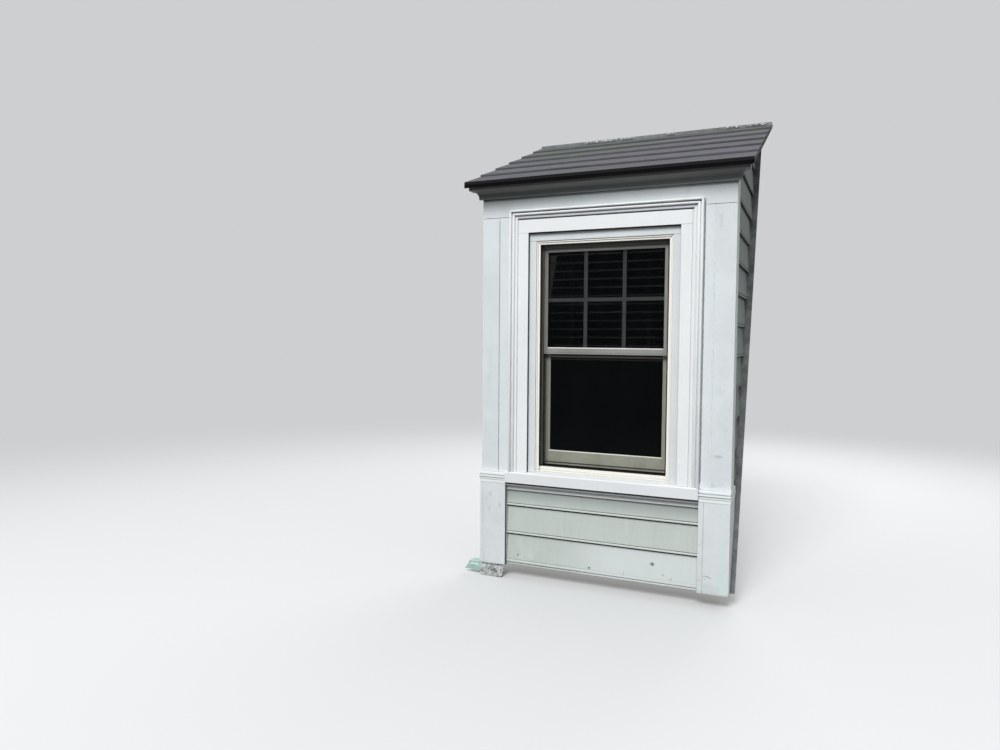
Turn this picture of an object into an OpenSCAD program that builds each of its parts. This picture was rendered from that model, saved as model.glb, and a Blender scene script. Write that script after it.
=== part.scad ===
// Wall dormer with a double-hung window, cut off at the steep slated wall it stands in.
// X runs across the front, Y runs into the building and Z runs up.
// The origin is under the middle of the front wall's sole plate.

/* [Body] */
// Width over the corner boards
body_w = 1392; // [1290:2:1700]
// Lean of the slated wall from upright, in degrees
slope_deg = 22.5; // [18:0.5:28]
// How far the slates' face lies behind the corner boards at the base
slate_set = 44; // [30:1:60]

/* [Framing] */
// Depth of the studs
stud_d = 89; // [80:1:108]
// Thickness of the studs, plates and rafters
stud_t = 38; // [32:1:42]
// Thickness of the wall sheathing
sheathing_t = 18; // [12:1:22]
// Thickness of the inside lining
lining_t = 13; // [10:1:20]

/* [Roof] */
// Pitch of the roof, in degrees
roof_pitch = 21.6; // [18:0.2:25]
// Overhang of the roof past the front corner boards
eave_out = 85; // [75:1:110]
// Overhang of the roof past each cheek
rake_out = 80; // [72:1:110]
// Thickness of the roof boards
deck_t = 16; // [15:1:25]
// Length of each course of roofing that shows
course_len = 228; // [180:1:300]
// Thickness of one course of roofing
course_t = 5; // [4:0.5:7]
// Depth of the metal edge round the roof
edge_h = 17; // [17:1:30]

/* [Outside trim] */
// Thickness of the corner boards
trim_t = 25; // [20:1:30]
// Width of the corner boards on the front
corner_w = 105; // [90:1:120]
// Width of the corner boards on the cheeks, behind the front boards
side_w = 90; // [70:1:110]
// How far the frieze runs down behind the band moulding
frieze_lap = 32; // [20:1:45]
// Height of the frieze that shows above the band moulding
frieze_show = 74; // [60:1:130]
// Height of the crown moulding's front, up to the roof boards
crown_h = 68; // [52:0.5:80]
// How far the crown moulding stands out
crown_out = 62; // [50:1:70]
// Width of the plinth boards
plinth_w = 158; // [130:1:195]
// Width of the strip that makes up the right plinth board on its inner side
plinth_strip_w = 26; // [15:1:40]
// Width of the plinth boards on the cheeks, behind the front boards
plinth_side_w = 165; // [120:1:180]
// How far the plinth boards stand out past the corner boards
plinth_out = 20; // [12:1:30]
// Height of the plinth boards
plinth_h = 507; // [480:1:520]
// Height of the cap on the plinth boards
cap_h = 28; // [24:1:40]

/* [Casing] */
// Width of the band moulding
band_w = 55; // [45:1:65]
// Width of the flat casing beside the window
casing_w = 57; // [50:1:65]
// Height of the flat casing over the window
head_casing_h = 73; // [50:1:90]
// Thickness of the flat casing
casing_t = 20; // [16:1:25]
// Width of the strips between the flat casing and the stops beside the window
reveal_w = 41; // [30:1:60]
// Height of the strip between the flat casing and the stop over the window
head_reveal_h = 45; // [30:1:60]
// Width of the stops round the window
stop_w = 20; // [16:1:24]
// Height of the stop along the sill
low_stop_h = 25; // [15:1:30]

/* [Sill and panel] */
// Height of the sill nose's upper edge
sill_z = 546; // [530:1:560]
// Height of the sill nose
sill_h = 59; // [48:1:70]
// How far the sill stands out past the corner boards
sill_out = 34; // [26:1:45]
// Slope of the sill's top, in degrees
sill_slope = 11; // [8:1:20]
// Height of the moulding under the sill
under_h = 47; // [36:1:56]
// Height of one board of siding that shows
board_h = 163; // [120:1:180]
// Height of the panel's lowest board that shows
base_board_h = 181; // [160:1:190]
// How far each board laps the one below
board_lap = 28; // [20:1:35]
// Gap below the panel's lowest board
panel_gap = 5; // [4:1:10]
// Height of the first cheek board's lower edge
cheek_first_z = 400; // [360:1:420]

/* [Window] */
// How far the window's middle lies to the right of the body's middle
window_shift = 8.5; // [-20:0.5:20]
// Width between the stops
open_w = 711; // [590:1:860]
// Height between the sill and the stop over the window
open_h = 1266; // [1050:1:1520]
// Height of the lower sash
lower_sash_h = 663; // [550:1:800]
// Height of each meeting rail
meeting_h = 37; // [30:1:45]
// Height of the lower sash's bottom rail
bottom_rail_h = 81; // [60:1:90]
// Height of the upper sash's top rail
top_rail_h = 20; // [16:1:30]
// Width of the upper sash's stiles
upper_stile = 24; // [20:1:34]
// Width of the lower sash's stiles
lower_stile = 32; // [26:1:40]
// Thickness of each sash
sash_t = 28; // [24:0.5:34]
// Thickness of each pane
pane_t = 3; // [3:0.5:5]
// Space between the two panes of a sash
pane_space = 12; // [10:1:14]
// Width of the grille bars between the panes
grille_w = 20; // [16:1:28]
// Number of panes across
panes_x = 3; // [2:1:4]
// Number of rows of panes
panes_z = 2; // [1:1:3]
// Distance between the blind's slats
slat_pitch = 47; // [39:1:57]
// Width of the blind's slats
slat_w = 48; // [40:1:50]

/* [Hidden] */

// Colours of the real surfaces
white_paint = [0.88, 0.90, 0.91];
casing_paint = [0.94, 0.95, 0.96];
siding_paint = [0.78, 0.81, 0.80];
taupe = [0.47, 0.45, 0.41];
pine = [0.78, 0.65, 0.46];
plywood = [0.70, 0.57, 0.40];
plaster = [0.86, 0.84, 0.79];
dark_roof = [0.30, 0.30, 0.32];
lead_grey = [0.42, 0.44, 0.45];
verdigris = [0.55, 0.72, 0.68];
bare_metal = [0.66, 0.68, 0.68];

// Clearances
joint = 0.5;
sheet_gap = 2;
seat = 0.3;
skin_gap = 1;
over = 1;
far = 4000;

// Planes across the front wall, from the studs outwards
y_in = stud_d / 2;
y_stud = -stud_d / 2;
y_sheath = y_stud - sheathing_t;
y_board = y_sheath - trim_t;
y_casing = y_board - casing_t;
y_room = y_in + lining_t;

// Planes across the cheeks, from the outside inwards
x_out = body_w / 2;
x_skin = x_out - trim_t;
x_sheath = x_skin - skin_gap;
x_frame = x_sheath - sheathing_t;
x_in = x_frame - stud_d;
x_room = x_in - lining_t;

// Heights of the window's trim, and half widths from the window's middle, outwards
frame_set = 37.5;
stop_set = 10;
y_frame = y_board + frame_set;
y_stop = y_board + stop_set;
y_nose = y_board - sill_out;
sill_rise = tan(sill_slope);
function sill_slope_z(y) = sill_z + (y - y_nose) * sill_rise;
sill_top_z = sill_slope_z(y_frame);
sill_low_z = sill_z - sill_h;
open_top_z = sill_top_z + open_h;
band_top_z = open_top_z + stop_w + head_reveal_h + head_casing_h + band_w;
frieze_z = band_top_z - frieze_lap;
crown_z = band_top_z + frieze_show;
x_open = open_w / 2;
x_backing = x_open + stop_w;
x_casing = x_backing + reveal_w + casing_w;
x_band = x_casing + band_w;
x_sill = x_out - plinth_w - joint;
x_horn = x_band + abs(window_shift);

// Lines of the slated wall and of the roof, seen from the side
wall_run = tan(slope_deg);
roof_rise = tan(roof_pitch);
y_slate0 = y_board + slate_set;
y_cut0 = y_in;
y_plate0 = y_cut0 - stud_t / cos(slope_deg);
y_eave = y_board - eave_out;
course_step = 2 * course_t;
courses_t = 3 * course_t;
deck_down = courses_t + deck_t;
rafter_down = deck_down + stud_d;
ceiling_down = rafter_down + lining_t;
edge_down = courses_t + edge_h;
eave_z = crown_z + crown_h - (eave_out - crown_out) * roof_rise + deck_down / cos(roof_pitch);
function roof_z(y, down) = eave_z + (y - y_eave) * roof_rise - down / cos(roof_pitch);
function meet_y(y0, down) = (y0 + wall_run * (roof_z(0, down))) / (1 - wall_run * roof_rise);
top_z = roof_z(meet_y(y_cut0, 0), 0) + stud_d;
x_rake = x_out + rake_out;

// Heights in the front wall
jamb_t = 32;
jamb_shim = 6;
head_z = open_top_z + jamb_t;
rough_top_z = head_z + jamb_shim;
rough_sill_z = sill_top_z - stud_t;
plate_top_z = roof_z(y_in, rafter_down);
plate_low_z = plate_top_z - 2 * stud_t;
x_jamb = x_open + jamb_t;
x_rough = x_jamb + jamb_shim;
x_jack = x_rough + stud_t;
cap_z = plinth_h + cap_h;
plinth_low = 2;
lining_low = 60;

// Depths in the window
frame_t = 5;
flange_w = 10;
flange_t = 8;
sash_gap = 1.5;
sash_space = 4;
sash_back = 10;
frame_d = 2 * (flange_t + sash_t + sash_space) + sash_back;
y_upper = y_frame + flange_t + sash_space;
y_lower = y_upper + sash_t + sash_space;
x_frame_out = x_open - joint;
x_sash = x_frame_out - frame_t - sash_gap;
frame_low_z = sill_top_z;
frame_top_z = open_top_z - joint;
frame_head_h = 20;
frame_lip_h = 28;
frame_sill_h = 32;
frame_drain_h = 16;
frame_drain_fall = 2;
track_in = 1;
meeting_drop = 2;
upper_top_z = frame_top_z - frame_head_h - seat;
lower_low_z = frame_low_z + frame_sill_h + seat;
lower_top_z = lower_low_z + lower_sash_h;
meeting_z = lower_top_z + meeting_drop - meeting_h;

// Section of the sash bars, and where the glass sits in it
groove = 8;
glass_hold = groove - seat;
pane_in = (sash_t - pane_space) / 2 - pane_t;
bevel_w = 6;
bevel_d = pane_in - joint - 1;
face_step_w = 9;
face_step_d = 1.5;

// Helpers

// Draws a side profile, in Y and Z, from x0 to x1
module side_profile(x0, x1) {
    translate([x0, 0, 0]) rotate([90, 0, 90]) linear_extrude(x1 - x0) children();
}

// Draws a plan profile, in X and Y, from z0 to z1
module plan_profile(z0, z1) {
    translate([0, 0, z0]) linear_extrude(z1 - z0) children();
}

// Draws a front profile, in X and Z, from y0 to y1
module front_profile(y0, y1) {
    translate([0, y1, 0]) rotate([90, 0, 0]) linear_extrude(y1 - y0) children();
}

module box(low, high) {
    translate(low) cube(high - low);
}

module both_sides() {
    children();
    mirror([1, 0, 0]) children();
}

// Moves what is drawn about the middle to the window's middle
module at_window() {
    translate([window_shift, 0, 0]) children();
}

// Everything in front of a line that leans like the slated wall
module before_wall(y0, x0, x1) {
    side_profile(x0, x1)
        polygon([[-far, 0], [y0, 0], [y0 + wall_run * top_z, top_z], [-far, top_z]]);
}

// Everything under the roof, down from its top face by the given thickness
module under_roof(down, x0, x1) {
    side_profile(x0, x1)
        polygon([[-far, -far], [far, -far], [far, roof_z(far, down)], [-far, roof_z(-far, down)]]);
}

// A layer that follows the roof, between two depths below its top face
module roof_layer(y0, y_back, down0, down1, x0, x1) {
    side_profile(x0, x1) polygon([
        [y0, roof_z(y0, down0)],
        [y0, roof_z(y0, down1)],
        [meet_y(y_back, down1), roof_z(meet_y(y_back, down1), down1)],
        [meet_y(y_back, down0), roof_z(meet_y(y_back, down0), down0)]
    ]);
}

// Four panels round an opening in the front wall, up to a layer of the roof
module holed_wall(y0, y1, x_side, z0, down, hole_x, hole_z0, hole_z1) {
    box([-x_side, y0, z0], [x_side, y1, hole_z0 - sheet_gap]);
    box([-x_side, y0, hole_z0], [window_shift - hole_x, y1, hole_z1]);
    box([window_shift + hole_x, y0, hole_z0], [x_side, y1, hole_z1]);
    intersection() {
        box([-x_side, y0, hole_z1 + sheet_gap], [x_side, y1, top_z]);
        under_roof(down, -x_side - over, x_side + over);
    }
}

// Everything above the sloping top of the sill
module over_sill() {
    side_profile(-far, far) polygon([
        [y_nose, sill_z], [y_frame, sill_top_z], [0, sill_top_z],
        [0, top_z], [-far, top_z], [-far, sill_z]
    ]);
}

// Framing

module sole_plate() color(pine) {
    box([-x_frame, y_stud, 0], [x_frame, y_in, stud_t]);
}

// Corner posts of two studs and a spacer, and the studs round the window
module front_studs() color(pine) {
    both_sides() {
        for (x = [x_in, x_frame - stud_t])
            box([x, y_stud, stud_t], [x + stud_t, y_in, plate_low_z]);
        box([x_in + stud_t + joint, y_stud, stud_t], [x_frame - stud_t - joint, y_in, plate_low_z]);
    }
    at_window() {
        both_sides() {
            box([x_jack + joint, y_stud, stud_t], [x_jack + stud_t, y_in, plate_low_z]);
            box([x_rough, y_stud, stud_t], [x_jack, y_in, rough_top_z]);
        }
        box([-x_rough + joint, y_stud, rough_sill_z - stud_t], [x_rough - joint, y_in, rough_sill_z]);
        for (x = [-x_rough / 2, x_rough / 2])
            box([x - stud_t / 2, y_stud, stud_t], [x + stud_t / 2, y_in, rough_sill_z - stud_t - joint]);
    }
}

// Two planks with a spacer between them
module window_header() color(pine) at_window() {
    for (y = [y_stud, y_in - stud_t])
        box([-x_jack, y, rough_top_z], [x_jack, y + stud_t, plate_low_z]);
    box([-x_jack, y_stud + stud_t + joint, rough_top_z], [x_jack, y_in - stud_t - joint, plate_low_z]);
}

module top_plates() color(pine) {
    box([-x_frame, y_stud, plate_low_z], [x_frame, y_in, plate_low_z + stud_t - joint]);
    box([-x_frame, y_stud, plate_low_z + stud_t], [x_frame, y_in, plate_top_z]);
}

cheek_stud_pitch = 406;
cheek_stud_n = floor((meet_y(y_plate0, rafter_down) - stud_t) / cheek_stud_pitch);
module cheek_studs() color(pine) both_sides() {
    for (i = [1 : cheek_stud_n])
        let (y = i * cheek_stud_pitch) intersection() {
            box([x_in, y - stud_t / 2, 0], [x_frame, y + stud_t / 2, top_z]);
            before_wall(y_plate0, 0, far);
            under_roof(rafter_down, 0, far);
        }
}

// A plate that leans with the wall, plumb cut against the corner post
module sloping_plate() {
    side_profile(x_in, x_frame) polygon([
        [y_cut0, 0],
        [meet_y(y_cut0, deck_down), roof_z(meet_y(y_cut0, deck_down), deck_down)],
        [meet_y(y_plate0, deck_down), roof_z(meet_y(y_plate0, deck_down), deck_down)],
        [y_cut0, (y_cut0 - y_plate0) / wall_run]
    ]);
}

module left_sloping_plate() color(pine) mirror([1, 0, 0]) sloping_plate();

module right_sloping_plate() color(pine) sloping_plate();

rafter_pitch = 430;
rafter_span = 2 * x_frame - stud_t;
rafter_n = ceil(rafter_span / rafter_pitch);
module rafters() color(pine) {
    for (i = [0 : rafter_n])
        let (x = -x_frame + i * rafter_span / rafter_n) side_profile(x, x + stud_t) polygon([
            [y_stud, plate_top_z],
            [y_in, plate_top_z],
            [meet_y(y_plate0, rafter_down), roof_z(meet_y(y_plate0, rafter_down), rafter_down)],
            [meet_y(y_plate0, deck_down), roof_z(meet_y(y_plate0, deck_down), deck_down)],
            [y_stud, roof_z(y_stud, deck_down)]
        ]);
}

ledger_h = 184;
module roof_ledger() color(pine) {
    ledger_y = meet_y(y_cut0, deck_down);
    ledger_z = roof_z(ledger_y, deck_down);
    plate_y = meet_y(y_plate0, deck_down);
    plate_z = roof_z(plate_y, deck_down);
    side_profile(-x_in, x_in) polygon([
        [ledger_y, ledger_z],
        [plate_y, plate_z],
        [y_plate0 + wall_run * (plate_z - ledger_h), plate_z - ledger_h],
        [y_cut0 + wall_run * (plate_z - ledger_h), plate_z - ledger_h]
    ]);
}

// Skins

module front_sheathing() color(plywood) {
    holed_wall(y_sheath, y_stud, x_frame, 0, deck_down, x_rough, rough_sill_z, rough_top_z);
}

module cheek_sheathing() color(plywood) both_sides() {
    side_profile(x_frame, x_sheath) polygon([
        [y_sheath, 0],
        [y_cut0, 0],
        [meet_y(y_cut0, deck_down), roof_z(meet_y(y_cut0, deck_down), deck_down)],
        [y_sheath, roof_z(y_sheath, deck_down)]
    ]);
}

module roof_deck() color(plywood) {
    roof_layer(y_eave + edge_t, y_cut0, courses_t, deck_down, -x_rake + edge_t, x_rake - edge_t);
}

// Tapered strips that lap like shingles, each lower edge standing on the one below
course_run = course_len * cos(roof_pitch);
course_n = ceil((meet_y(y_slate0, course_step) - y_eave) / course_run) - 1;
strip_run = course_run * courses_t / course_step;
module roof_courses() color(dark_roof) intersection() {
    for (i = [0 : course_n])
        let (y = y_eave + i * course_run) side_profile(-x_rake, x_rake) polygon([
            [y, roof_z(y, 0)],
            [y, roof_z(y, i == 0 ? courses_t : course_step - seat)],
            [y + course_run, roof_z(y + course_run, courses_t)],
            [y + strip_run, roof_z(y + strip_run, courses_t)]
        ]);
    before_wall(y_slate0, -far, far);
}

// Bent strip at the roof's head: one leg on the last strip, one up the slates
head_leg = 60;
head_up = 20;
head_t = 1.5;
module head_flashing() color(lead_grey) {
    strip_rise = roof_rise - course_step / cos(roof_pitch) / course_run;
    strip_y = y_eave + course_n * course_run;
    strip_z0 = roof_z(strip_y, 0) - strip_y * strip_rise;
    head_y = (y_slate0 + wall_run * strip_z0) / (1 - wall_run * strip_rise);
    translate([0, head_y, strip_z0 + head_y * strip_rise + seat]) {
        rotate([atan(strip_rise), 0, 0]) box([-x_rake, -head_leg, 0], [x_rake, 0, head_t]);
        rotate([-slope_deg, 0, 0]) box([-x_rake, -head_t, 0], [x_rake, 0, head_up]);
    }
}

// Bent metal along the front edge and up both rakes
edge_t = 2;
module roof_edge() color(dark_roof) {
    side_profile(-x_rake, x_rake) polygon([
        [y_eave, roof_z(y_eave, courses_t)],
        [y_eave + edge_t, roof_z(y_eave + edge_t, courses_t)],
        [y_eave + edge_t, roof_z(y_eave, edge_down)],
        [y_eave, roof_z(y_eave, edge_down)]
    ]);
    both_sides()
        roof_layer(y_eave + edge_t + joint, y_slate0, courses_t, edge_down, x_rake - edge_t, x_rake);
}

// Cornice

// Outline of the crown moulding: a foot, a hollow and a square lip
crown_foot = 18;
crown_foot_h = 8;
crown_ledge = 6;
hollow_r = crown_out - crown_foot - crown_ledge;
module crown_outline() {
    polygon(concat(
        [[0, 0], [crown_foot, 0], [crown_foot, crown_foot_h]],
        [for (a = [0 : 10 : 90])
            [crown_foot + hollow_r * (1 - cos(a)), crown_foot_h + hollow_r * sin(a)]],
        [[crown_out, crown_foot_h + hollow_r], [crown_out, crown_h], [0, crown_h]]
    ));
}

module crown_moulding() color(white_paint) intersection() {
    union() {
        difference() {
            translate([0, y_board, crown_z]) rotate([90, 0, -90])
                linear_extrude(2 * (x_out + crown_out), center = true) crown_outline();
            both_sides() crown_mitre(over);
        }
        both_sides() intersection() {
            translate([x_out, y_board, crown_z]) rotate([90, 0, 0])
                linear_extrude(crown_out) crown_outline();
            crown_mitre(0);
        }
    }
    under_roof(deck_down, -far, far);
}

// Everything behind the mitre at the cornice's right corner
module crown_mitre(back) {
    plan_profile(0, top_z) polygon([
        [x_out, y_board + back], [x_out, y_board],
        [x_out + far, y_board - far], [x_out + far, y_board + back]
    ]);
}

module frieze_board() color(white_paint) intersection() {
    box([-x_out, y_board, frieze_z], [x_out, y_sheath, top_z]);
    under_roof(deck_down, -far, far);
}

// Corner boards and plinth

y_plinth = y_board - plinth_out;

module side_board(w, z0, z1) {
    intersection() {
        box([x_skin, y_sheath, z0], [x_out, y_sheath + w, z1]);
        before_wall(y_slate0, 0, far);
        under_roof(deck_down, 0, far);
    }
}

module corner_board() {
    box([x_out - corner_w, y_board, cap_z + seat], [x_out, y_sheath - joint, frieze_z - joint]);
    side_board(side_w, cap_z + seat, top_z);
}

module left_corner_board() color(white_paint) mirror([1, 0, 0]) corner_board();

module right_corner_board() color(white_paint) corner_board();

module plinth_board(x_inner) {
    box([x_inner, y_plinth, plinth_low], [x_out, y_sheath - joint, plinth_h]);
    side_board(plinth_side_w, plinth_low, plinth_h);
}

module left_plinth_board() color(white_paint) mirror([1, 0, 0]) plinth_board(x_out - plinth_w);

// The right board is made up with a narrow strip on its inner side
module right_plinth_board() color(white_paint) {
    x_strip = x_out - plinth_w + plinth_strip_w;
    plinth_board(x_strip + joint);
    box([x_out - plinth_w, y_plinth, plinth_low], [x_strip, y_sheath - joint, plinth_h]);
}

// Two small steps on top of each plinth board and two thin beds under them, turned along the cheek
cap_nose = 8;
cap_step = 9;
cap_side = 3;
bed_h = 12;
bed_out = 4;
low_bed_h = 30;
low_bed_out = 1.5;
module plinth_caps() color(white_paint) both_sides() {
    step_h = cap_h / 2;
    for (i = [0, 1]) {
        low = plinth_h + seat + step_h * i;
        high = plinth_h + step_h * (i + 1);
        x_cap = x_out + cap_side * (1 - i / 2);
        box([x_out - plinth_w, y_plinth - cap_nose + cap_step * i, low],
            [x_cap, y_sheath - joint, high]);
        intersection() {
            box([x_skin, y_sheath, low], [x_cap, y_sheath + plinth_side_w, high]);
            before_wall(y_slate0, 0, far);
        }
    }
    for (bed = [[bed_h, bed_out], [low_bed_h, low_bed_out]])
        let (low = plinth_h - bed[0], out = bed[1]) {
            box([x_out - plinth_w, y_plinth - out, low], [x_out + out, y_plinth - seat, plinth_h]);
            intersection() {
                box([x_out + seat, y_plinth - over, low],
                    [x_out + out, y_sheath + plinth_side_w, plinth_h]);
                before_wall(y_slate0, 0, far);
            }
        }
}

// Boards behind the casing, flush with the corner boards: a wide one beside the corner board,
// a narrow one beside the stop and a head piece that runs over the narrow ones
module backing_boards() color(white_paint) {
    x_wide = x_out - corner_w - joint;
    x_split = x_casing - casing_w / 2;
    head_low = open_top_z + stop_w;
    intersection() {
        union() {
            box([-x_wide, y_board, 0], [window_shift - x_split, y_sheath, frieze_z - joint]);
            box([window_shift + x_split, y_board, 0], [x_wide, y_sheath, frieze_z - joint]);
            at_window() both_sides()
                box([x_backing, y_board, 0], [x_split - joint, y_sheath, head_low - joint]);
        }
        union() {
            over_sill();
            both_sides() box([x_sill + joint, -far, cap_z + seat], [far, 0, top_z]);
        }
    }
    at_window()
        box([-x_split + joint, y_board, head_low], [x_split - joint, y_sheath, frieze_z - joint]);
}

// Casing

// Mitred frame pieces on three sides: a profile seen in plan, turned for each side
module three_sides(x_outer, z_outer, w) {
    both_sides() intersection() {
        translate([x_outer, 0, 0]) linear_extrude(z_outer) children();
        over_sill();
        front_profile(-far, far) polygon([
            [x_outer - w - over, 0], [x_outer, 0], [x_outer, z_outer - joint],
            [x_outer - w - over, z_outer - w - over - joint]
        ]);
    }
    intersection() {
        translate([0, 0, z_outer]) rotate([0, -90, 0])
            linear_extrude(2 * x_outer, center = true) children();
        front_profile(-far, far) polygon([
            [-x_outer + joint, z_outer], [x_outer - joint, z_outer],
            [x_outer - joint - w - over, z_outer - w - over],
            [-x_outer + joint + w + over, z_outer - w - over]
        ]);
    }
}

// Flat boards beside the window, and one over it that rests on their ends
module flat_casing() color(casing_paint) at_window() {
    high = band_top_z - band_w;
    low = high - head_casing_h;
    y_back = y_casing + casing_t;
    both_sides() intersection() {
        box([x_casing - casing_w, y_casing, 0], [x_casing, y_back, low - joint]);
        over_sill();
    }
    box([-x_casing, y_casing, low], [x_casing, y_back, high]);
}

// Section of the band: from its outer edge a bead, a quirk, a wider bead, a hollow, a fillet and
// a deep quirk. Each stands out past the casing's face or lies behind it
bead_w = 12;
bead_out = 14;
quirk_in = 2;
quirk_w = 5;
wide_bead_w = 14;
wide_bead_out = 9;
hollow_w = 6;
hollow_in = 3;
fillet_w = 10;
fillet_out = 2;
deep_quirk_in = 7;
module bead_outline(w, out) {
    translate([-w, y_casing - out + w / 2]) square([w, casing_t + out - w / 2]);
    translate([-w / 2, y_casing - out + w / 2]) circle(d = w, $fn = 24);
}

module band_outline() {
    x_wide = -bead_w - quirk_w;
    x_hollow = x_wide - wide_bead_w;
    x_fillet = x_hollow - hollow_w;
    bead_outline(bead_w, bead_out);
    translate([x_wide, y_casing + quirk_in]) square([quirk_w, casing_t - quirk_in]);
    translate([x_wide, 0]) bead_outline(wide_bead_w, wide_bead_out);
    translate([x_fillet, y_casing + hollow_in]) square([hollow_w, casing_t - hollow_in]);
    translate([x_fillet - fillet_w, y_casing - fillet_out]) square([fillet_w, casing_t + fillet_out]);
    translate([-band_w, y_casing + deep_quirk_in]) square([band_w - over, casing_t - deep_quirk_in]);
}

module band_moulding() color(casing_paint) at_window() {
    three_sides(x_band, band_top_z, band_w) band_outline();
}

// Stops with a step in their face on three sides, and a stepped one along the sill
stop_face = 12;
stop_step = 5;
low_stop_d = 16;
module window_stops() color(casing_paint) at_window() {
    three_sides(x_backing - seat, open_top_z + stop_w - seat, stop_w - seat) {
        translate([-stop_w + seat, y_stop]) square([stop_face, y_sheath - y_stop]);
        translate([-stop_w + seat + stop_face - over, y_stop - stop_step])
            square([stop_w - stop_face, y_sheath - y_stop + stop_step]);
    }
    y_low = y_frame - low_stop_d;
    z_step = sill_top_z + low_stop_h / 2;
    side_profile(-x_open + joint, x_open - joint) polygon([
        [y_frame - seat, sill_top_z + seat], [y_frame - seat, sill_top_z + low_stop_h],
        [y_low + stop_step, sill_top_z + low_stop_h], [y_low + stop_step, z_step],
        [y_low, z_step], [y_low, sill_slope_z(y_low) + seat]
    ]);
}

module window_jambs() color(casing_paint) at_window() {
    both_sides()
        box([x_open, y_sheath + seat, sill_top_z + seat], [x_jamb, y_room, open_top_z - joint]);
    box([-x_jamb, y_sheath + seat, open_top_z], [x_jamb, y_room, head_z]);
}

// Sloping sill with a drip groove. Where the band moulding reaches past the plinth's inner edge,
// the sill's upper part runs on over the cap to carry it
drip_w = 6;
drip_d = 4;
drip_in = 12;
nose_r = 4;
module sill_outline() {
    difference() {
        polygon([
            [y_nose, sill_low_z], [y_nose, sill_z - nose_r],
            [y_nose + nose_r, sill_slope_z(y_nose + nose_r)],
            [y_sheath - seat, sill_slope_z(y_sheath - seat)], [y_sheath - seat, sill_low_z]
        ]);
        translate([y_nose + drip_in, sill_low_z - over]) square([drip_w, drip_d + over]);
    }
}

module window_sill() color(casing_paint) {
    side_profile(-x_sill, x_sill) sill_outline();
    if (x_horn > x_sill)
        both_sides() intersection() {
            side_profile(x_sill - over, x_horn) sill_outline();
            box([0, -far, cap_z + seat], [far, y_board - joint, far]);
        }
    at_window() side_profile(-x_jamb, x_jamb) polygon([
        [y_sheath - seat - over, sill_slope_z(y_sheath - seat - over)],
        [y_frame, sill_top_z], [y_room, sill_top_z], [y_room, rough_sill_z],
        [y_sheath - seat - over, rough_sill_z]
    ]);
}

// Moulding under the sill: a foot, a hollow and a square lip
under_out = 20;
under_foot_h = 14;
under_hollow_r = 14;
module under_sill_moulding() color(casing_paint) {
    low = sill_low_z - under_h;
    side_profile(-x_sill, x_sill) polygon(concat(
        [[y_sheath - seat, low], [y_board, low]],
        [for (a = [0 : 15 : 90])
            [y_board - under_hollow_r * (1 - cos(a)), low + under_foot_h + under_hollow_r * sin(a)]],
        [[y_board - under_out, low + under_foot_h + under_hollow_r]],
        [[y_board - under_out, sill_low_z - seat], [y_sheath - seat, sill_low_z - seat]]
    ));
}

// Siding

board_butt = 13;
board_thin = 5;
bead_h = 12;
bead_ease = 2;
groove_d = 4.5;
groove_half = 3;
starter_h = 20;
// Thickness of a board where the next one's lower edge stands on it
lap_t = board_thin + (board_butt - board_thin) * board_lap / (board_h + board_lap);

// One lapped board seen from its end: X is 0 at the wall, Y is 0 at the lower edge
module lapped_board(height) {
    kick = (lap_t + seat) * height / board_h;
    front = kick + board_butt;
    polygon([
        [0, height], [kick, 0], [front - bead_ease, 0], [front, bead_ease],
        [front, bead_h - groove_half], [front - groove_d, bead_h], [front, bead_h + groove_half],
        [board_thin, height]
    ]);
}

panel_top = sill_low_z - under_h - seat;
panel_n = ceil((panel_top - panel_gap - base_board_h) / board_h);
module panel_siding() color(siding_paint) {
    for (i = [0 : panel_n])
        let (z = panel_gap + (i == 0 ? 0 : base_board_h + (i - 1) * board_h)) intersection() {
            translate([0, y_sheath, 0]) rotate([90, 0, -90])
                linear_extrude(2 * x_sill, center = true) translate([seat, z]) {
                    lapped_board((i == 0 ? base_board_h : board_h) + board_lap);
                    if (i == 0) square([lap_t, starter_h]);
                }
            box([-far, -far, 0], [far, far, panel_top]);
        }
}

siding_gap = 10;
cheek_low_z = (y_sheath + plinth_side_w - y_slate0) / wall_run;
cheek_low_n = floor((cheek_low_z - cheek_first_z) / board_h);
cheek_n = floor((roof_z(meet_y(y_slate0, 0), 0) - cheek_first_z) / board_h);
module cheek_siding() {
    y0 = y_sheath + side_w + joint;
    y1 = y_sheath + plinth_side_w + joint;
    intersection() {
        union() {
            for (i = [cheek_low_n : cheek_n])
                translate([x_skin, far / 2, cheek_first_z + i * board_h]) rotate([90, 0, 0])
                    linear_extrude(far) lapped_board(board_h + board_lap);
        }
        before_wall(y_slate0 - siding_gap, 0, far);
        under_roof(deck_down, 0, far);
        side_profile(0, far) polygon([
            [y1, 0], [far, 0], [far, top_z], [y0, top_z], [y0, cap_z + seat],
            [y1, cap_z + seat]
        ]);
    }
}

module left_cheek_siding() color(siding_paint) mirror([1, 0, 0]) cheek_siding();

module right_cheek_siding() color(siding_paint) cheek_siding();

// Window unit

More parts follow.
